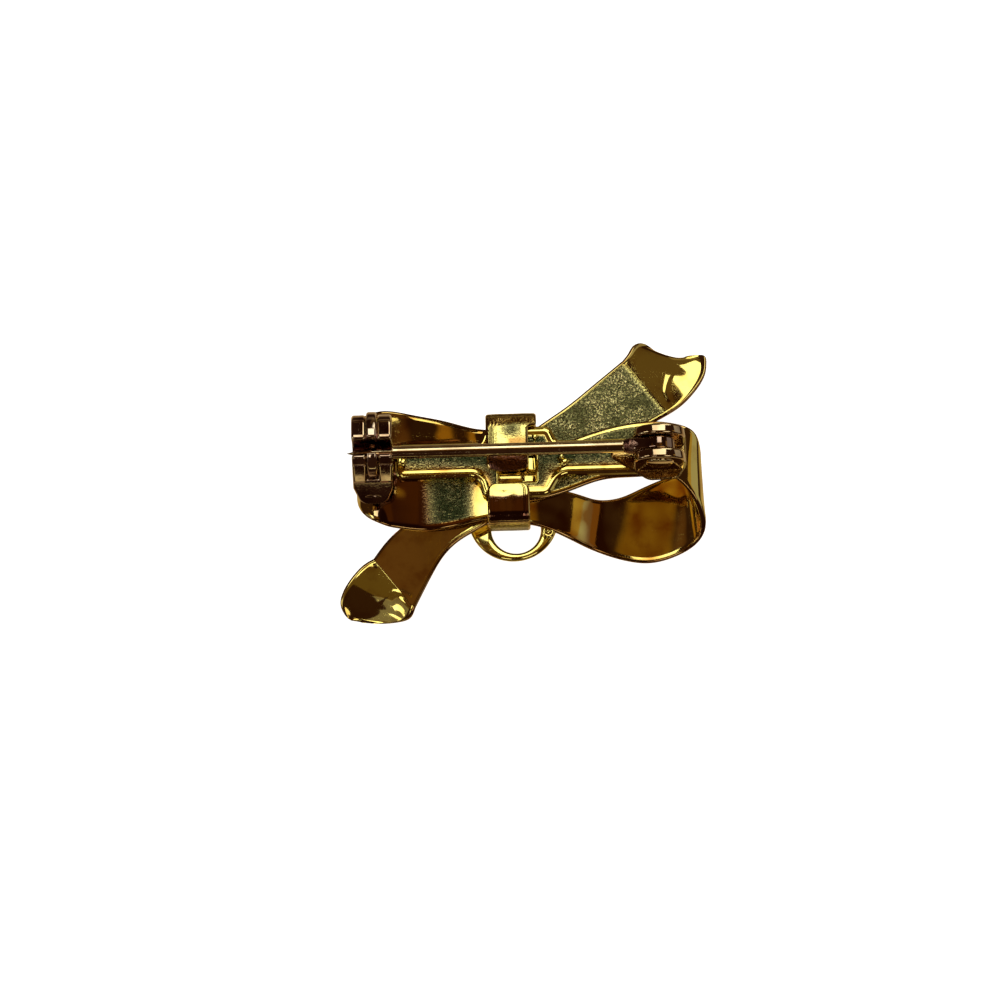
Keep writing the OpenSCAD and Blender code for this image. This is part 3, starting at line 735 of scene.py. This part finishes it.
def plating(name):
    """Gilt or rose plating: smooth or granular, bright or in painted shade, as a piece's marks say
    """
    colours = bpy.context.scene.brooch_finishes
    gold, deep, frosted, pitted, sooty, rosy, wine = (
        (*getattr(colours, key), 1)
        for key in ("gold", "deep", "frosted", "pitted", "sooty", "rose", "wine"))
    made = Finish(name)
    # The dark mark paints shade and dark reflection; the rose mark gives rose plating, which with
    # the dark mark paints wine-coloured shade on gilt pieces
    grain, rose, dark = (made.mark(mark) for mark in ("grain", "rose", "dark"))
    metres = made.node("ShaderNodeTexCoord", output="Object")
    place = made.vector("SCALE", {0: metres, "Scale": 1 / MM})
    clouds = made.noise(place, 0.55, 3.0)
    pits = made.noise(place, 6.6, 2.0, 0.55)
    specks = made.noise(place, 6.0, 2.0, 0.6).over(0.42, 0.62)
    scratches = made.scratches(place, (1.3, 16.0, 6.0), 0.63)
    crosswise = made.scratches(place, (14.0, 1.1, 5.0), 0.64)

    # Painted shade: the dark mark turns the gilt towards deep gold; the clouds give a real uneven
    # tone
    gilt = made.mix((dark * (1 - grain) + 0.5 * clouds.over(0.45, 0.75)).clamped(), gold, deep)
    gilt = made.mix(0.5 * grain, gilt, frosted)
    # Frosted gilt between the pits, in specks and scratches, fewer where shade is painted
    bright = (specks * (0.14 + 1.0 * clouds.over(0.35, 0.65)) * (1 - 0.72 * dark)
              + 0.6 * scratches).clamped()
    # The pits are painted shade, and darker still where the dark mark paints shade
    gilt = made.mix(grain * (1 - bright), gilt, made.mix(dark, pitted, sooty))
    # The rose plating turns to wine where the dark mark paints shade; the clouds give a real uneven
    # tone
    plated = made.mix((dark + 0.4 * clouds.over(0.4, 0.7)).clamped(), rosy, wine)
    made.set("Base Color", made.mix(rose, gilt, plated))
    made.set("Metallic", 1.0)
    made.set("Roughness", (0.04 + 0.05 * clouds + 0.12 * grain).clamped())
    relief = (grain * (1.1 * pits + 0.2 * specks) + 0.025 * clouds
              - 0.004 * scratches - 0.004 * crosswise)
    made.set("Normal", made.node("ShaderNodeBump", {}, {"Strength": 1.0, "Distance": 0.1 * MM,
                                                        "Height": relief}))
    return made.material


def dress(form, name):
    """Makes a form's piece with its finish, and sets it in the frame"""
    finish, node, body, slot = PIECES[name]
    made = form.piece(name, bpy.data.materials.get(finish) or plating(finish))
    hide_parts(node)
    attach(made, body)


class BROOCH_OT_loops(bpy.types.Operator):
    """Bend the two loops of the bow"""
    bl_idname = "brooch.loops"
    bl_label = "Loops"

    def execute(self, context):
        bow = context.scene.brooch_bow
        self.loop(bow, "left_loop", LEFT_LOOP, -1, bow.loop_left, self.left_tilt, self.left_marks)
        self.loop(bow, "right_loop", RIGHT_LOOP, 1, bow.loop_right, self.right_tilt,
                  self.right_marks)
        return {"FINISHED"}

    def loop(self, bow, name, rows, side, reach, tilt, marks):
        """One loop, with its soft waves and draw lines"""
        floor, front, _, back = sheet_levels(bow)
        seed = 1 if side < 0 else 2
        rows = edges(rows, side, reach, bow.loop_breadth,
                     lambda share: np.interp(share, [0, 1, 2], [floor, front, back]))

        def dent(u, v, points):
            return (waves(points, bow.wave, 4 * MM, seed) + tilt(u, v) * MM
                    + waves(points, 0.08 * bow.wave, 1.3 * MM, seed + 5)
                    + streaks(u, v, 0.12 * bow.wave, 9, 6, seed))

        form = Form()
        ribbon(form, relaxed(curve(rows, 12), 30), bow.sheet, marks, dent, across=30,
               roll=lambda u: 0.08 + 0 * u)
        dress(form, name)

    def left_tilt(self, u, v):
        """How far the left loop's back and front lean, in millimetres"""
        return (0.15 * (2 * v - 1) * (1 - ramp(u, 0.09, 0.14))
                + 0.5 * (1 - v) * span(u, 0.12, 0.2, 0.26, 0.34)
                + 0.4 * (1 - (1 - v) ** 2) * ramp(u, 0.60, 0.68))

    def right_tilt(self, u, v):
        return (0.3 - 0.4 * v) * ramp(u, 0.60, 0.68)

    def left_marks(self, u, v):
        """Granular behind the bar; painted shade in wine and deep gold behind the catch, left out
        at one spot beside it, and on the inner face and the rims
        """
        clear = 1 - bump(u - 0.24, 0.022) * bump(v - 0.64, 0.15)
        # Painted shade behind the catch
        darkening = ramp(u, 0.07, 0.1) * (1 - 0.9 * ramp(u, 0.28, 0.36)) * clear
        return {"grain": (0, within(v, 0.05, 0.08) * span(u, 0.08, 0.11, 0.155, 0.20), 0),
                "rose": (0, 0.9 * span(u, 0.17, 0.2, 0.3, 0.36) * clear, 0.4),
                "dark": (0.6, darkening, 0.8)}

    def right_marks(self, u, v):
        """Granular on the back; painted shade in streaks over the front's inside with one rosy band
        in it, and on the rims
        """
        band = bump(u - 0.83, 0.035)
        # Painted shade in streaks, with a band of it, on the inner face
        darkening = np.clip(0.4 + streaks(u, v, 0.9, 24, 2.5, 9) + band, 0, 1)
        return {"grain": (0, within(v, 0.05, 0.08) * (1 - ramp(u, 0.24, 0.3)), 0),
                "rose": (0.3 * band, 0, 0.4), "dark": (darkening, 0.1, 0.8)}


class BROOCH_OT_tails(bpy.types.Operator):
    """Fold the strip whose ends are the tails"""
    bl_idname = "brooch.tails"
    bl_label = "Tails"

    def execute(self, context):
        bow = context.scene.brooch_bow
        floor, _, height, _ = sheet_levels(bow)

        def side_of(rows, side):
            return edges(rows, side, bow.tail_left if side < 0 else bow.tail_right,
                         bow.tail_breadth, lambda share: floor + share * (height - floor))

        def smooth(*rows):
            return relaxed(curve(np.vstack(rows), 12), 24)

        def beside(crease, row):
            """A row close to a crease, which keeps the fold sharp"""
            return crease + 0.12 * (row - crease)

        def tip(tail, rows, side):
            """The turned end of a tail, from its crease on"""
            crease, *rows = smooth(tail[-1:], side_of(rows, side))
            return [beside(crease, rows[0]), *rows]

        left, right = side_of(LEFT_TAIL, -1), side_of(RIGHT_TAIL, 1)
        left_tip, right_tip = tip(left, LEFT_TIP, -1), tip(right, RIGHT_TIP, 1)
        body = smooth(left[::-1], side_of([TAIL_MIDDLE], 1), right)
        sections = np.array([*left_tip[::-1], body[0], beside(body[0], body[1]), *body[1:-1],
                             beside(body[-1], body[-2]), body[-1], *right_tip])
        count = len(sections) - 1
        left_crease, right_crease = len(left_tip) / count, 1 - len(right_tip) / count

        def on_tip(u):
            """0 on the flats and 1 from halfway along the tips"""
            return (1 - ramp(u, left_crease / 2, left_crease)
                    + ramp(u, right_crease, (1 + right_crease) / 2))

        def dent(u, v, points):
            """Waves and the tips' cups, with lips along the flats, streaks and dimples"""
            tip = on_tip(u)
            calm = within(u, 0, 0.03)
            lips = 0.03 * (bump(v, 0.04) + bump(1 - v, 0.04)) * (1 - tip)
            pressed = 0.022 * (ridge(points, LEFT_STREAK) + ridge(points, RIGHT_STREAK))
            for x, y, reach, depth in DIMPLES:
                pressed += depth * near(points, x, y, reach) * ramp(left_crease - u, 0, 0.04)
            return (waves(points, bow.wave, 4 * MM, 3) * calm + (lips - pressed) * MM
                    + bow.cup * tip ** 2 * 4 * v * (1 - v) * calm)

        def marks(u, v):
            """Granular on the right flat's back; painted shade on the rest of the outer face, and
            painted shade with some rose on the rims
            """
            flat = span(u, 0.5, 0.55, right_crease - 0.012, right_crease - 0.004)
            return {"grain": (0, flat * within(v, 0.01, 0.04), 0),
                    "dark": (0, 0.25 * (1 - flat), 0.8), "rose": (0, 0, 0.4)}

        def roll(u):
            return (np.where(u > 0.5, -0.2, 0.2) * on_tip(u) - 0.1) * within(u, 0, 0.05)

        form = Form()
        ribbon(form, sections, bow.sheet, marks, dent, across=70, roll=roll)
        dress(form, "tails")
        return {"FINISHED"}


class BROOCH_OT_knot(bpy.types.Operator):
    """Wrap the knot band with its two tabs"""
    bl_idname = "brooch.knot"
    bl_label = "Knot band"

    def execute(self, context):
        bow, trim = context.scene.brooch_bow, context.scene.brooch_trim
        sheet = bow.sheet
        low, high = KNOT_LOW + sheet / 2, KNOT_HIGH - sheet / 2
        # The band lies a little further up the picture than the part's
        high[1] += 0.25 * MM
        low[1] += 0.35 * MM
        bend = trim.bend - sheet / 2
        brow_run, brow_fall = 1.1 * MM, 0.6 * MM
        path = rounded([(KNOT_HIGH[1] - trim.tab_upper, high[2], 0),
                        (high[1] - brow_run, high[2], 0.3 * MM),
                        (high[1], high[2] - brow_fall, 0.7 * MM),
                        (high[1], low[2], bend), (low[1], low[2], 2.2 * bend),
                        (low[1], high[2], bend),
                        (KNOT_LOW[1] + trim.tab_lower, high[2], 0)], 0.12 * MM, closed=False)
        run = run_along(path)
        whole = run[-1]
        on_tab = np.maximum(
            1 - ramp(run, trim.tab_upper - 1.3 * MM, trim.tab_upper - 0.7 * MM),
            ramp(run - whole, -4.4 * MM - trim.tab_lower, -3.2 * MM - trim.tab_lower))
        corner = 0.6 * MM
        cut = np.clip(corner - np.minimum(run, whole - run), 0, corner)
        cut = corner - np.sqrt(corner ** 2 - cut ** 2)
        step = KNOT_HIGH[0] - KNOT_LOW[0] - trim.tab
        sections = np.column_stack([KNOT_LOW[0] + cut, path,
                                    KNOT_HIGH[0] - step * on_tab - cut, path])
        upper, lower = trim.tab_upper / whole, 1 - trim.tab_lower / whole
        brim = (trim.tab_upper - brow_run / 2) / whole

        def dent(u, v, points):
            """Folds at the brow, the hollow front, the tabs' fall, a seam and small lumps"""
            folds = 0.06 * np.cos(2 * math.pi * v / 0.075) * bump(v - 0.12, 0.16)
            folds = folds * (1 - ramp(u, 0.6 * upper, 0.95 * upper))
            front = -0.15 * bump(v - 0.5, 0.5) * bump(u - 0.5, 0.22)
            fall = (0.12 * span(u, 0, upper, upper, 1.1 * upper)
                    + 0.16 * span(u, lower - 0.02, lower, lower, 0.96))
            ends = 0.05 * ramp(u, 0.978, 1) + 0.1 * (1 - ramp(u, 0, 0.35 * upper))
            seam = 0.03 * bump(v - 0.93, 0.03) * ramp(u, lower, lower + 0.02)
            lumps = waves(points, 0.01, 0.6 * MM, 6) * (1 - ramp(u, upper, 1.1 * upper)
                                                        + 0.3 * ramp(u, lower, lower + 0.02))
            return MM * (folds + front + fall + ends + seam + lumps
                         + streaks(u, v, 0.008, 8, 45, 5) + waves(points, 0.04, 1.6 * MM, 4))

        def marks(u, v):
            """Painted shade on the tab ends, the brow, the lower bend, the lower tab's face, the
            inner face and the rims, with a pitted patch and a darker patch on the upper tab
            """
            # end: painted shade on the upper tab's end under the pin; face: painted shade in wine
            # on the lower tab; under: painted shade in the lower bend
            end = 1 - ramp(u, 0.2 * upper, 0.4 * upper)
            face = 0.9 * span(u, 0.84, 0.88, 0.945, 0.965)
            under = 0.9 * bump(u - 0.76, 0.12)
            pits = 0.7 * bump(u / upper - 0.72, 0.16) * bump(v - 0.62, 0.36)
            # A darker patch on the upper tab
            darkening = 0.95 * bump(u / upper - 0.5, 0.14) * ramp(v, 0.42, 0.6)
            # Painted shade along the brow
            brow = bump(u - brim, 0.9 * MM / whole)
            return {"grain": (0, 0.15 * (1 - ramp(u, 0.5, 0.8)) + pits + under, 0),
                    "rose": (0, end + face, 0.3),
                    "dark": (0.2, 0.05 + face + under + darkening + brow + end, 0.4)}

        form = Form()
        ribbon(form, sections, sheet, marks, dent, across=44)
        dress(form, "knot_wrap")
        return {"FINISHED"}


class BROOCH_OT_hanger(bpy.types.Operator):
    """Make the D-shaped loop below the knot"""
    bl_idname = "brooch.hanger"
    bl_label = "Hanger loop"

    def execute(self, context):
        radius, bore, wire = 3.75 * MM, 2.05 * MM, 0.65 * MM
        x, low = KNOT[0], RING_LOW[1]
        top = KNOT_LOW[1] + 1.25 * MM
        half = math.asin((top - low - radius) / radius)
        outer = circle(x, low + radius, radius, math.pi - half, 2 * math.pi + half, 90)
        middle = low + wire + bore
        rise = math.asin(np.clip((top - middle) / bore, -1, 1))
        inner = circle(x + 0.2 * MM, middle, bore, 2 * math.pi + rise, math.pi - rise, 70)
        form = Form()
        plate(form, softened([outer, inner], 0.06 * MM, 6),
              edge_levels(RING_LOW[2], RING_HIGH[2], 0.28 * MM, 8), lying)
        self.bead(form, np.array([x + 2.85 * MM, top - 0.95 * MM, RING_HIGH[2] + 0.2 * MM]))
        dress(form, "hanger_ring")
        return {"FINISHED"}

    def bead(self, form, place):
        """The small hollow bead on the loop's right shoulder"""
        ring, lip = 0.36, 0.2
        profile = [(-0.3, 0.1), (-0.3, 0.5)]
        profile += [(lip * math.sin(turn), ring + lip * math.cos(turn))
                    for turn in np.linspace(0, 2.4, 9)]
        profile.append((0.05, 0.17))
        turned(form, np.array(profile) * MM, place, (0, 0, 1))


class BROOCH_OT_bar(bpy.types.Operator):
    """Stamp the bar with its rounded rim and its sunk window"""
    bl_idname = "brooch.bar"
    bl_label = "Stamped bar"

    def execute(self, context):
        trim = context.scene.brooch_trim
        bevel = trim.bevel
        low, high = PLATE_LOW, PLATE_LOW + trim.bar
        crest, sunk, foot = 0.35 * bevel, 0.09 * MM, 0.1 * MM
        levels = [(foot, low), (0, low + foot)]
        levels += [(crest * (1 - math.sin(turn)), high - trim.bar * 0.5 * math.cos(turn) ** 2)
                   for turn in np.linspace(0, math.pi / 2, 8)]
        levels += [(crest + share * (bevel - crest), high - sunk * (1 - (1 - share) ** 1.5))
                   for share in np.linspace(0, 1, 8)[1:]]
        corners = np.array(BAR_CORNERS) * MM
        rings = np.array([lying(stepped(moved_in(corners, distance), 10, 14), height)
                          for distance, height in levels])
        inward = np.array([distance for distance, _ in levels])[:, None]
        upper = ramp(rings[..., 1], 0.7 * MM, 1.3 * MM)
        grain = ramp(inward, 0.7 * bevel, bevel) * (0.35 + 0.65 * upper)
        # Painted shade on the flat inside the rounded rim, and on its granular parts
        dark = np.maximum(0.75 * ramp(inward, 0.4 * bevel, 0.9 * bevel), grain)
        form = Form()
        numbers = form.add(rings, grain=grain, dark=dark)
        form.skin(numbers)
        form.cover(numbers[0])
        self.window(form, numbers[-1], high - sunk)
        self.nicks(form, high - sunk)
        dress(form, "stamped_bar")
        return {"FINISHED"}

    def window(self, form, ring, flat):
        """The sunk window with its thin rim and two facets"""
        left, bottom, right, top = WINDOW
        corners = np.array([(x, y, 0.3) for x, y in ((left, bottom), (left, top), (right, top),
                                                     (right, bottom))])
        hole = rounded(corners * MM, 0.12 * MM)
        rings = [lying(inset(hole, -inward * MM), flat + height * MM)
                 for inward, height in WINDOW_RIM]
        # The rim's first ring carries the flat's grain and painted shade
        first = np.zeros((len(rings), 1))
        first[0] = 1
        inner = form.add(rings, grain=first, dark=first)
        form.skin(inner)
        form.cover(ring, inner[0])
        form.cover(inner[-1])
        near_edge, depth = -0.75, -0.43
        for start, end, far, slope in FACETS:
            spots = [(start, near_edge), (end, near_edge), (end, far), (start, far)]
            lower = [(x, y, depth) for x, y in spots]
            upper = [(x, y, 0.02 - 0.02 * (x - start) + slope * (y - near_edge))
                     for x, y in spots]
            # Painted shade on the facets' tops, most at their near edge
            box = form.add((np.array([lower, upper]) + [0, 0, flat / MM]) * MM,
                           dark=[[0, 0, 0, 0], [0.3, 0.2, 0.1, 0.1]])
            form.faces.extend([tuple(box[0][::-1]), tuple(box[1])])
            form.skin(box)

    def nicks(self, form, flat):
        """The nicks, each a low three-sided pyramid"""
        for x, y, turn, size in NICKS:
            spots = [(x + size * math.cos(turn + t), y + size * math.sin(turn + t), 0)
                     for t in (0.0, 2.2, 4.1)]
            spots.append((x, y + 0.1, 0.14))
            a, b, c, tip = form.add(np.array(spots) * MM + [0, 0, flat])
            form.faces.extend([(a, b, tip), (b, c, tip), (c, a, tip), (a, c, b)])


class BROOCH_OT_hinge(bpy.types.Operator):
    """Make the hinge's base, its two ears and the rivet"""
    bl_idname = "brooch.hinge"
    bl_label = "Hinge"

    def execute(self, context):
        trim = context.scene.brooch_trim
        top = PLATE_LOW + trim.bar
        form = Form()
        # The base is gilt with a little rose and some grain, in painted shade
        plate(form, rounded(np.array(BASE_CORNERS) * MM, 0.08 * MM),
              edge_levels(top - 0.25 * MM, top + 0.16 * MM, 0.2 * MM), lying,
              rose=0.2, dark=0.8, grain=0.15)
        half = trim.ear_sheet / 2
        offset = trim.eye_width / 2 + half + 0.05 * MM
        turns = np.linspace(0, math.pi, 80)
        rise, reach = np.sin(turns), np.cos(turns)
        crest = np.stack([HINGE[0] + trim.ear * np.sign(reach) * np.abs(reach) ** trim.ear_flat,
                          HINGE[2] - 0.5 * MM + trim.ear * rise ** trim.ear_flat], 1)
        foot = [(HINGE[0] + side * trim.ear, top + 0.05 * MM) for side in (-1, 1)]
        ear = softened([crest, foot], 0.08 * MM, 4)
        lean = 0.07
        levels = [(distance + lean * (height + half), height)
                  for distance, height in edge_levels(-half, half, 0.22 * MM)]
        # The ears are rose plating with some gilt, under light painted shade
        for side in (-1, 1):
            plate(form, ear, levels, upright(HINGE[1] + side * offset), rose=0.75, dark=0.35)
        dress(form, "hinge_ears")
        self.rivet(offset + half)
        return {"FINISHED"}

    def rivet(self, reach):
        """The rivet through the ears, with a low dome on each side"""
        head, rise, shank = 1.15 * MM, 0.33 * MM, 0.55 * MM
        dome = [(rise * math.sin(turn), head * math.cos(turn))
                for turn in np.linspace(0, 1.35, 8)]
        dome += [(rise, 0.12 * head), (rise * 1.01, 0.03 * head)]
        side = [(reach, shank)] + [(reach + along, radius) for along, radius in dome]
        profile = [(-along, radius) for along, radius in side[::-1]] + side
        form = Form()
        # The rivet is rose plating with some gilt, under light painted shade
        turned(form, profile, HINGE, (0, 1, 0), rose=0.7, dark=0.2)
        dress(form, "rivet")


class BROOCH_OT_pin(bpy.types.Operator):
    """Draw the pin with its eye and point"""
    bl_idname = "brooch.pin"
    bl_label = "Pin"

    def execute(self, context):
        trim = context.scene.brooch_trim
        towards_point = (-1, 0, 0)
        form = Form()
        collar = relaxed(evened(np.array(COLLAR) * MM, 0.08 * MM, closed=False), 2)
        # The collar is rose plating with grain, in painted shade
        turned(form, collar, HINGE, towards_point, steps=40, rose=1.0, dark=0.9, grain=0.4)
        straight = HINGE[0] - POINT_X - trim.point
        wire = [(along, trim.pin) for along in np.linspace(2.9 * MM, straight, 20)]
        wire += [(straight + share * trim.point, trim.pin * max(0.03, 1 - share ** 2.1))
                 for share in np.linspace(0, 1, 16)[1:]]
        wire = relaxed(evened(wire, 0.12 * MM, closed=False), 3)
        # The wire is rose plating with some gilt, under light painted shade
        turned(form, wire, HINGE, towards_point, steps=40, rose=0.75, dark=0.2)
        opening = 2.2
        eye = circle(HINGE[0], HINGE[2], trim.eye, -opening, opening, 48)
        neck = [(HINGE[0] - 2.2 * MM, HINGE[2] + side * 0.6 * MM) for side in (1, -1)]
        half = trim.eye_width / 2
        # The eye is rose plating in painted shade
        plate(form, softened([eye, neck], 0.07 * MM, 5), edge_levels(-half, half, 0.22 * MM),
              upright(HINGE[1]), rose=1.0, dark=0.7)
        dress(form, "pin_wire")
        return {"FINISHED"}


class BROOCH_OT_hook(bpy.types.Operator):
    """Make the catch's foot and its hook disc"""
    bl_idname = "brooch.hook"
    bl_label = "Hook"

    def execute(self, context):
        trim = context.scene.brooch_trim
        top = PLATE_LOW + trim.bar
        x, y = CATCH[:2]
        half, sheet = trim.sleeve_length / 2, trim.hook_sheet / 2
        long, wide = half - 0.05 * MM, 2.8 * MM
        form = Form()
        base = oblong(x - long, x + long, y - wide, y + wide, 0.6 * MM)
        # The base and the hub inside the sleeve are rose plating in full painted shade; the hook
        # disc and its foot are in lighter painted shade
        plate(form, rounded(base, 0.08 * MM), edge_levels(PLATE_LOW, top, 0.2 * MM), lying,
              rose=1.0, dark=1.0)
        plate(form, self.slotted(trim, trim.hook, 110, 5), edge_levels(-sheet, sheet, 0.2 * MM),
              lengthways(x), rose=1.0, dark=0.4)
        hub = trim.sleeve - trim.sleeve_wall - 0.16 * MM
        plate(form, self.slotted(trim, hub, 90, 3), edge_levels(-half, half, 0.12 * MM),
              lengthways(x), rose=1.0, dark=1.0)
        foot = oblong(y - trim.hook / 2, y + trim.hook / 2, top - 0.1 * MM, top + trim.hook / 2,
                      0.1 * MM)
        plate(form, rounded(foot, 0.08 * MM), edge_levels(-sheet, sheet, 0.08 * MM),
              lengthways(x), rose=1.0, dark=0.4)
        dress(form, "catch_hook")
        return {"FINISHED"}

    def slotted(self, trim, radius, steps, passes):
        """Outline of a disc round the catch's middle, with the pin's channel cut into its top"""
        channel = trim.pin + PIN_AIR
        left, right = (math.asin(min(1.0, (HINGE[1] - CATCH[1] + side * channel) / radius))
                       for side in (-1, 1))
        disc = circle(CATCH[1], CATCH[2], radius, math.pi / 2 - left, math.pi * 2.5 - right, steps)
        cup = circle(HINGE[1], CATCH[2], channel, 0, -math.pi, 24)
        return softened([disc, cup], 0.07 * MM, passes)


class BROOCH_OT_catch(bpy.types.Operator):
    """Roll the catch's sleeve and its thumb tab"""
    bl_idname = "brooch.catch"
    bl_label = "Catch"

    def execute(self, context):
        trim = context.scene.brooch_trim
        wall = trim.sleeve_wall
        radius, bore = trim.sleeve - wall / 2, trim.sleeve - wall
        channel = trim.pin + PIN_AIR
        gap_from, gap_to = (math.degrees(math.acos((side * channel + HINGE[1] - CATCH[1]) / bore))
                            - 2 * side for side in (1, -1))
        tangent = 90 + 56
        flat_at, flat_half = 70, 17
        straight = 1.9 * MM

        def ring(degrees):
            """Point of the sleeve's middle, with one flat place beside the pin's gap"""
            off = min(flat_half, abs((degrees - flat_at + 180) % 360 - 180))
            reach = radius * math.cos(math.radians(flat_half)) / math.cos(math.radians(off))
            turn = math.radians(degrees)
            return CATCH[1:] + reach * np.array([math.cos(turn), math.sin(turn)])

        leave = math.radians(tangent)
        out = np.array([math.cos(leave), math.sin(leave)])
        way = np.array([-out[1], out[0]])

        def tab_line(runs):
            """The tab's middle, which bends a little towards the bow"""
            bent = trim.thumb_bend * (runs[:, None] / trim.thumb) ** 2
            return ring(tangent) + way * runs[:, None] - out * bent

        round_about = [ring(degrees) for degrees in np.arange(gap_from + 360, tangent, -4.0)]
        path = np.vstack([round_about, tab_line(np.linspace(0, straight, 12))])
        start = np.array([ring(degrees) for degrees in np.linspace(gap_to, tangent, 10)[:-1]])
        slot, half = trim.hook_sheet / 2 + 0.05 * MM, trim.sleeve_length / 2
        form = Form()
        for low, high in ((-half, -slot), (slot, half)):
            for line in (path, start):
                self.strip(form, trim, line, low, high, across=12, far_end=False)
        self.thumb(form, trim, tab_line, straight)
        dress(form, "catch_sleeve")
        return {"FINISHED"}

    def strip(self, form, trim, line, low, high, **shape):
        """A strip of the sleeve's sheet along a line, from low to high along the pin"""
        sections = np.column_stack([CATCH[0] + low + 0 * line[:, 0], line,
                                    CATCH[0] + high + 0 * line[:, 0], line])
        # Rose plating with some gilt, in painted shade on both faces and on the rims
        ribbon(form, sections, trim.sleeve_wall,
               lambda u, v: {"rose": (1.0, 0.85, 0.8), "dark": (0.5, 0.6, 0.2)}, **shape)

    def thumb(self, form, trim, tab_line, straight):
        """The tab below the hook disc's slot, narrowing to its round tip"""
        runs = np.linspace(straight, trim.thumb, 90)
        shoulder, corner = 2.65 * MM, 0.55 * MM
        narrow = np.clip((runs - shoulder) / (trim.thumb - shoulder), 0, 1)
        half = (trim.sleeve_length * (1 - narrow) + trim.thumb_tip * narrow) / 2
        cut = np.clip(corner - (trim.thumb - runs), 0, corner)
        half -= corner - np.sqrt(corner ** 2 - cut ** 2)

        def ridge_across(u, v, points):
            return -0.06 * MM * bump(v - 0.48, 0.3) * bump(u - 0.62, 0.045)

        self.strip(form, trim, tab_line(runs), -half, half, across=30, dent=ridge_across)


def soft_box(name, azimuth, height, width, tall, radiance, tint):
    """A panel of light that faces the brooch, with its place and size in degrees"""
    distance = 1.0
    across, up = (2 * distance * math.tan(math.radians(size / 2)) for size in (width, tall))
    light = bpy.data.lights.new(name, "AREA")
    light.shape = "RECTANGLE"
    light.size, light.size_y = across, up
    light.energy = radiance * math.pi * across * up
    light.color = tint
    made = bpy.data.objects.new(name, light)
    bpy.context.scene.collection.objects.link(made)
    azimuth, height = math.radians(azimuth), math.radians(height)
    direction = Vector((math.cos(azimuth) * math.cos(height), math.sin(azimuth) * math.cos(height),
                        math.sin(height)))
    made.location = direction * distance
    made.rotation_euler = direction.to_track_quat("Z", "Y").to_euler()
    made.visible_camera = False


class BROOCH_OT_stage(bpy.types.Operator):
    """Set the table, the lights and the camera"""
    bl_idname = "brooch.stage"
    bl_label = "Stage"

    def execute(self, context):
        self.camera(context)
        self.table(context)
        self.room(context)
        for name, settings in SOFT_BOXES.items():
            soft_box(name, *settings)
        context.scene.view_settings.view_transform = "Standard"
        return {"FINISHED"}

    def camera(self, context):
        """The camera, high over the brooch's lower side"""
        stage = context.scene.brooch_stage
        tilt = stage.elevation
        turn = Matrix.Rotation(-stage.roll, 3, Vector((0, -math.cos(tilt), math.sin(tilt))))
        across = turn @ Vector((1, 0, 0))
        up = turn @ Vector((0, math.sin(tilt), math.cos(tilt)))
        back = across.cross(up)
        data = bpy.data.cameras.new("camera")
        data.sensor_width = 36
        data.lens = data.sensor_width * stage.distance / stage.view
        data.clip_start = 0.01
        made = bpy.data.objects.new("camera", data)
        context.scene.collection.objects.link(made)
        matrix = Matrix((across, up, back)).transposed().to_4x4()
        matrix.translation = (stage.middle_across * across + stage.middle_up * up
                              + stage.distance * back)
        made.matrix_world = matrix
        context.scene.camera = made

    def table(self, context):
        """The white table, just below the brooch"""
        size = 4.0
        mesh = bpy.data.meshes.new("table")
        mesh.from_pydata([(-size, -size, 0), (size, -size, 0), (size, size, 0), (-size, size, 0)],
                         [], [(0, 1, 2, 3)])
        made = bpy.data.objects.new("table", mesh)
        context.scene.collection.objects.link(made)
        paper = Finish("white paper")
        paper.set("Base Color", (0.8, 0.8, 0.8, 1))
        paper.set("Roughness", 0.9)
        paper.set("Emission Color", (*context.scene.brooch_finishes.floor, 1))
        paper.set("Emission Strength", 1.0)
        mesh.materials.append(paper.material)
        made.location.z = CAD_BOX[0][2] - 0.1 * MM
        made.visible_glossy = False
        made.visible_diffuse = False
        made.visible_shadow = False

    def room(self, context):
        """The dark room round the table, which the metal mirrors"""
        world = bpy.data.worlds.new("studio")
        world.use_nodes = True
        room = Nodes(world.node_tree)
        way = room.node("ShaderNodeTexCoord", output="Generated")
        height = room.node("ShaderNodeSeparateXYZ", {}, {"Vector": way}, output="Z")
        light = ROOM
        for direction, start, full, glow in GLOWS:
            cosine = room.vector("DOT_PRODUCT", {0: way, 1: direction}, output="Value")
            light = room.mix(cosine.over(start, full), light, glow)
        light = room.mix(height.over(-0.7, -0.4), LOW_LIGHT, light)
        room.feed(room.nodes["Background"].inputs["Color"], light)
        context.scene.world = world


class BROOCH_PT_panel(bpy.types.Panel):
    """Buttons for the pieces, and their sizes and colours"""
    bl_idname = "BROOCH_PT_panel"
    bl_label = "Bow brooch"
    bl_space_type = "VIEW_3D"
    bl_region_type = "UI"
    bl_category = "Brooch"

    def draw(self, context):
        for operator in MAKERS:
            self.layout.operator(operator.bl_idname)
        for group in SETTINGS:
            settings = getattr(context.scene, group)
            for name in settings.__annotations__:
                self.layout.prop(settings, name)


SETTINGS = {"brooch_bow": BowSizes, "brooch_trim": TrimSizes, "brooch_finishes": Finishes,
            "brooch_stage": StageSizes}
MAKERS = (BROOCH_OT_stage, BROOCH_OT_loops, BROOCH_OT_tails, BROOCH_OT_knot, BROOCH_OT_hanger,
          BROOCH_OT_bar, BROOCH_OT_hinge, BROOCH_OT_pin, BROOCH_OT_hook, BROOCH_OT_catch)
CLASSES = (*SETTINGS.values(), *MAKERS, BROOCH_PT_panel)


def register():
    for cls in CLASSES:
        bpy.utils.register_class(cls)
    for name, group in SETTINGS.items():
        setattr(bpy.types.Scene, name, PointerProperty(type=group))


def unregister():
    for name in SETTINGS:
        delattr(bpy.types.Scene, name)
    for cls in reversed(CLASSES):
        bpy.utils.unregister_class(cls)


def main():
    """Makes the whole brooch"""
    register()
    for operator in MAKERS:
        group, name = operator.bl_idname.split(".")
        getattr(getattr(bpy.ops, group), name)()


if __name__ == "__main__":
    main()
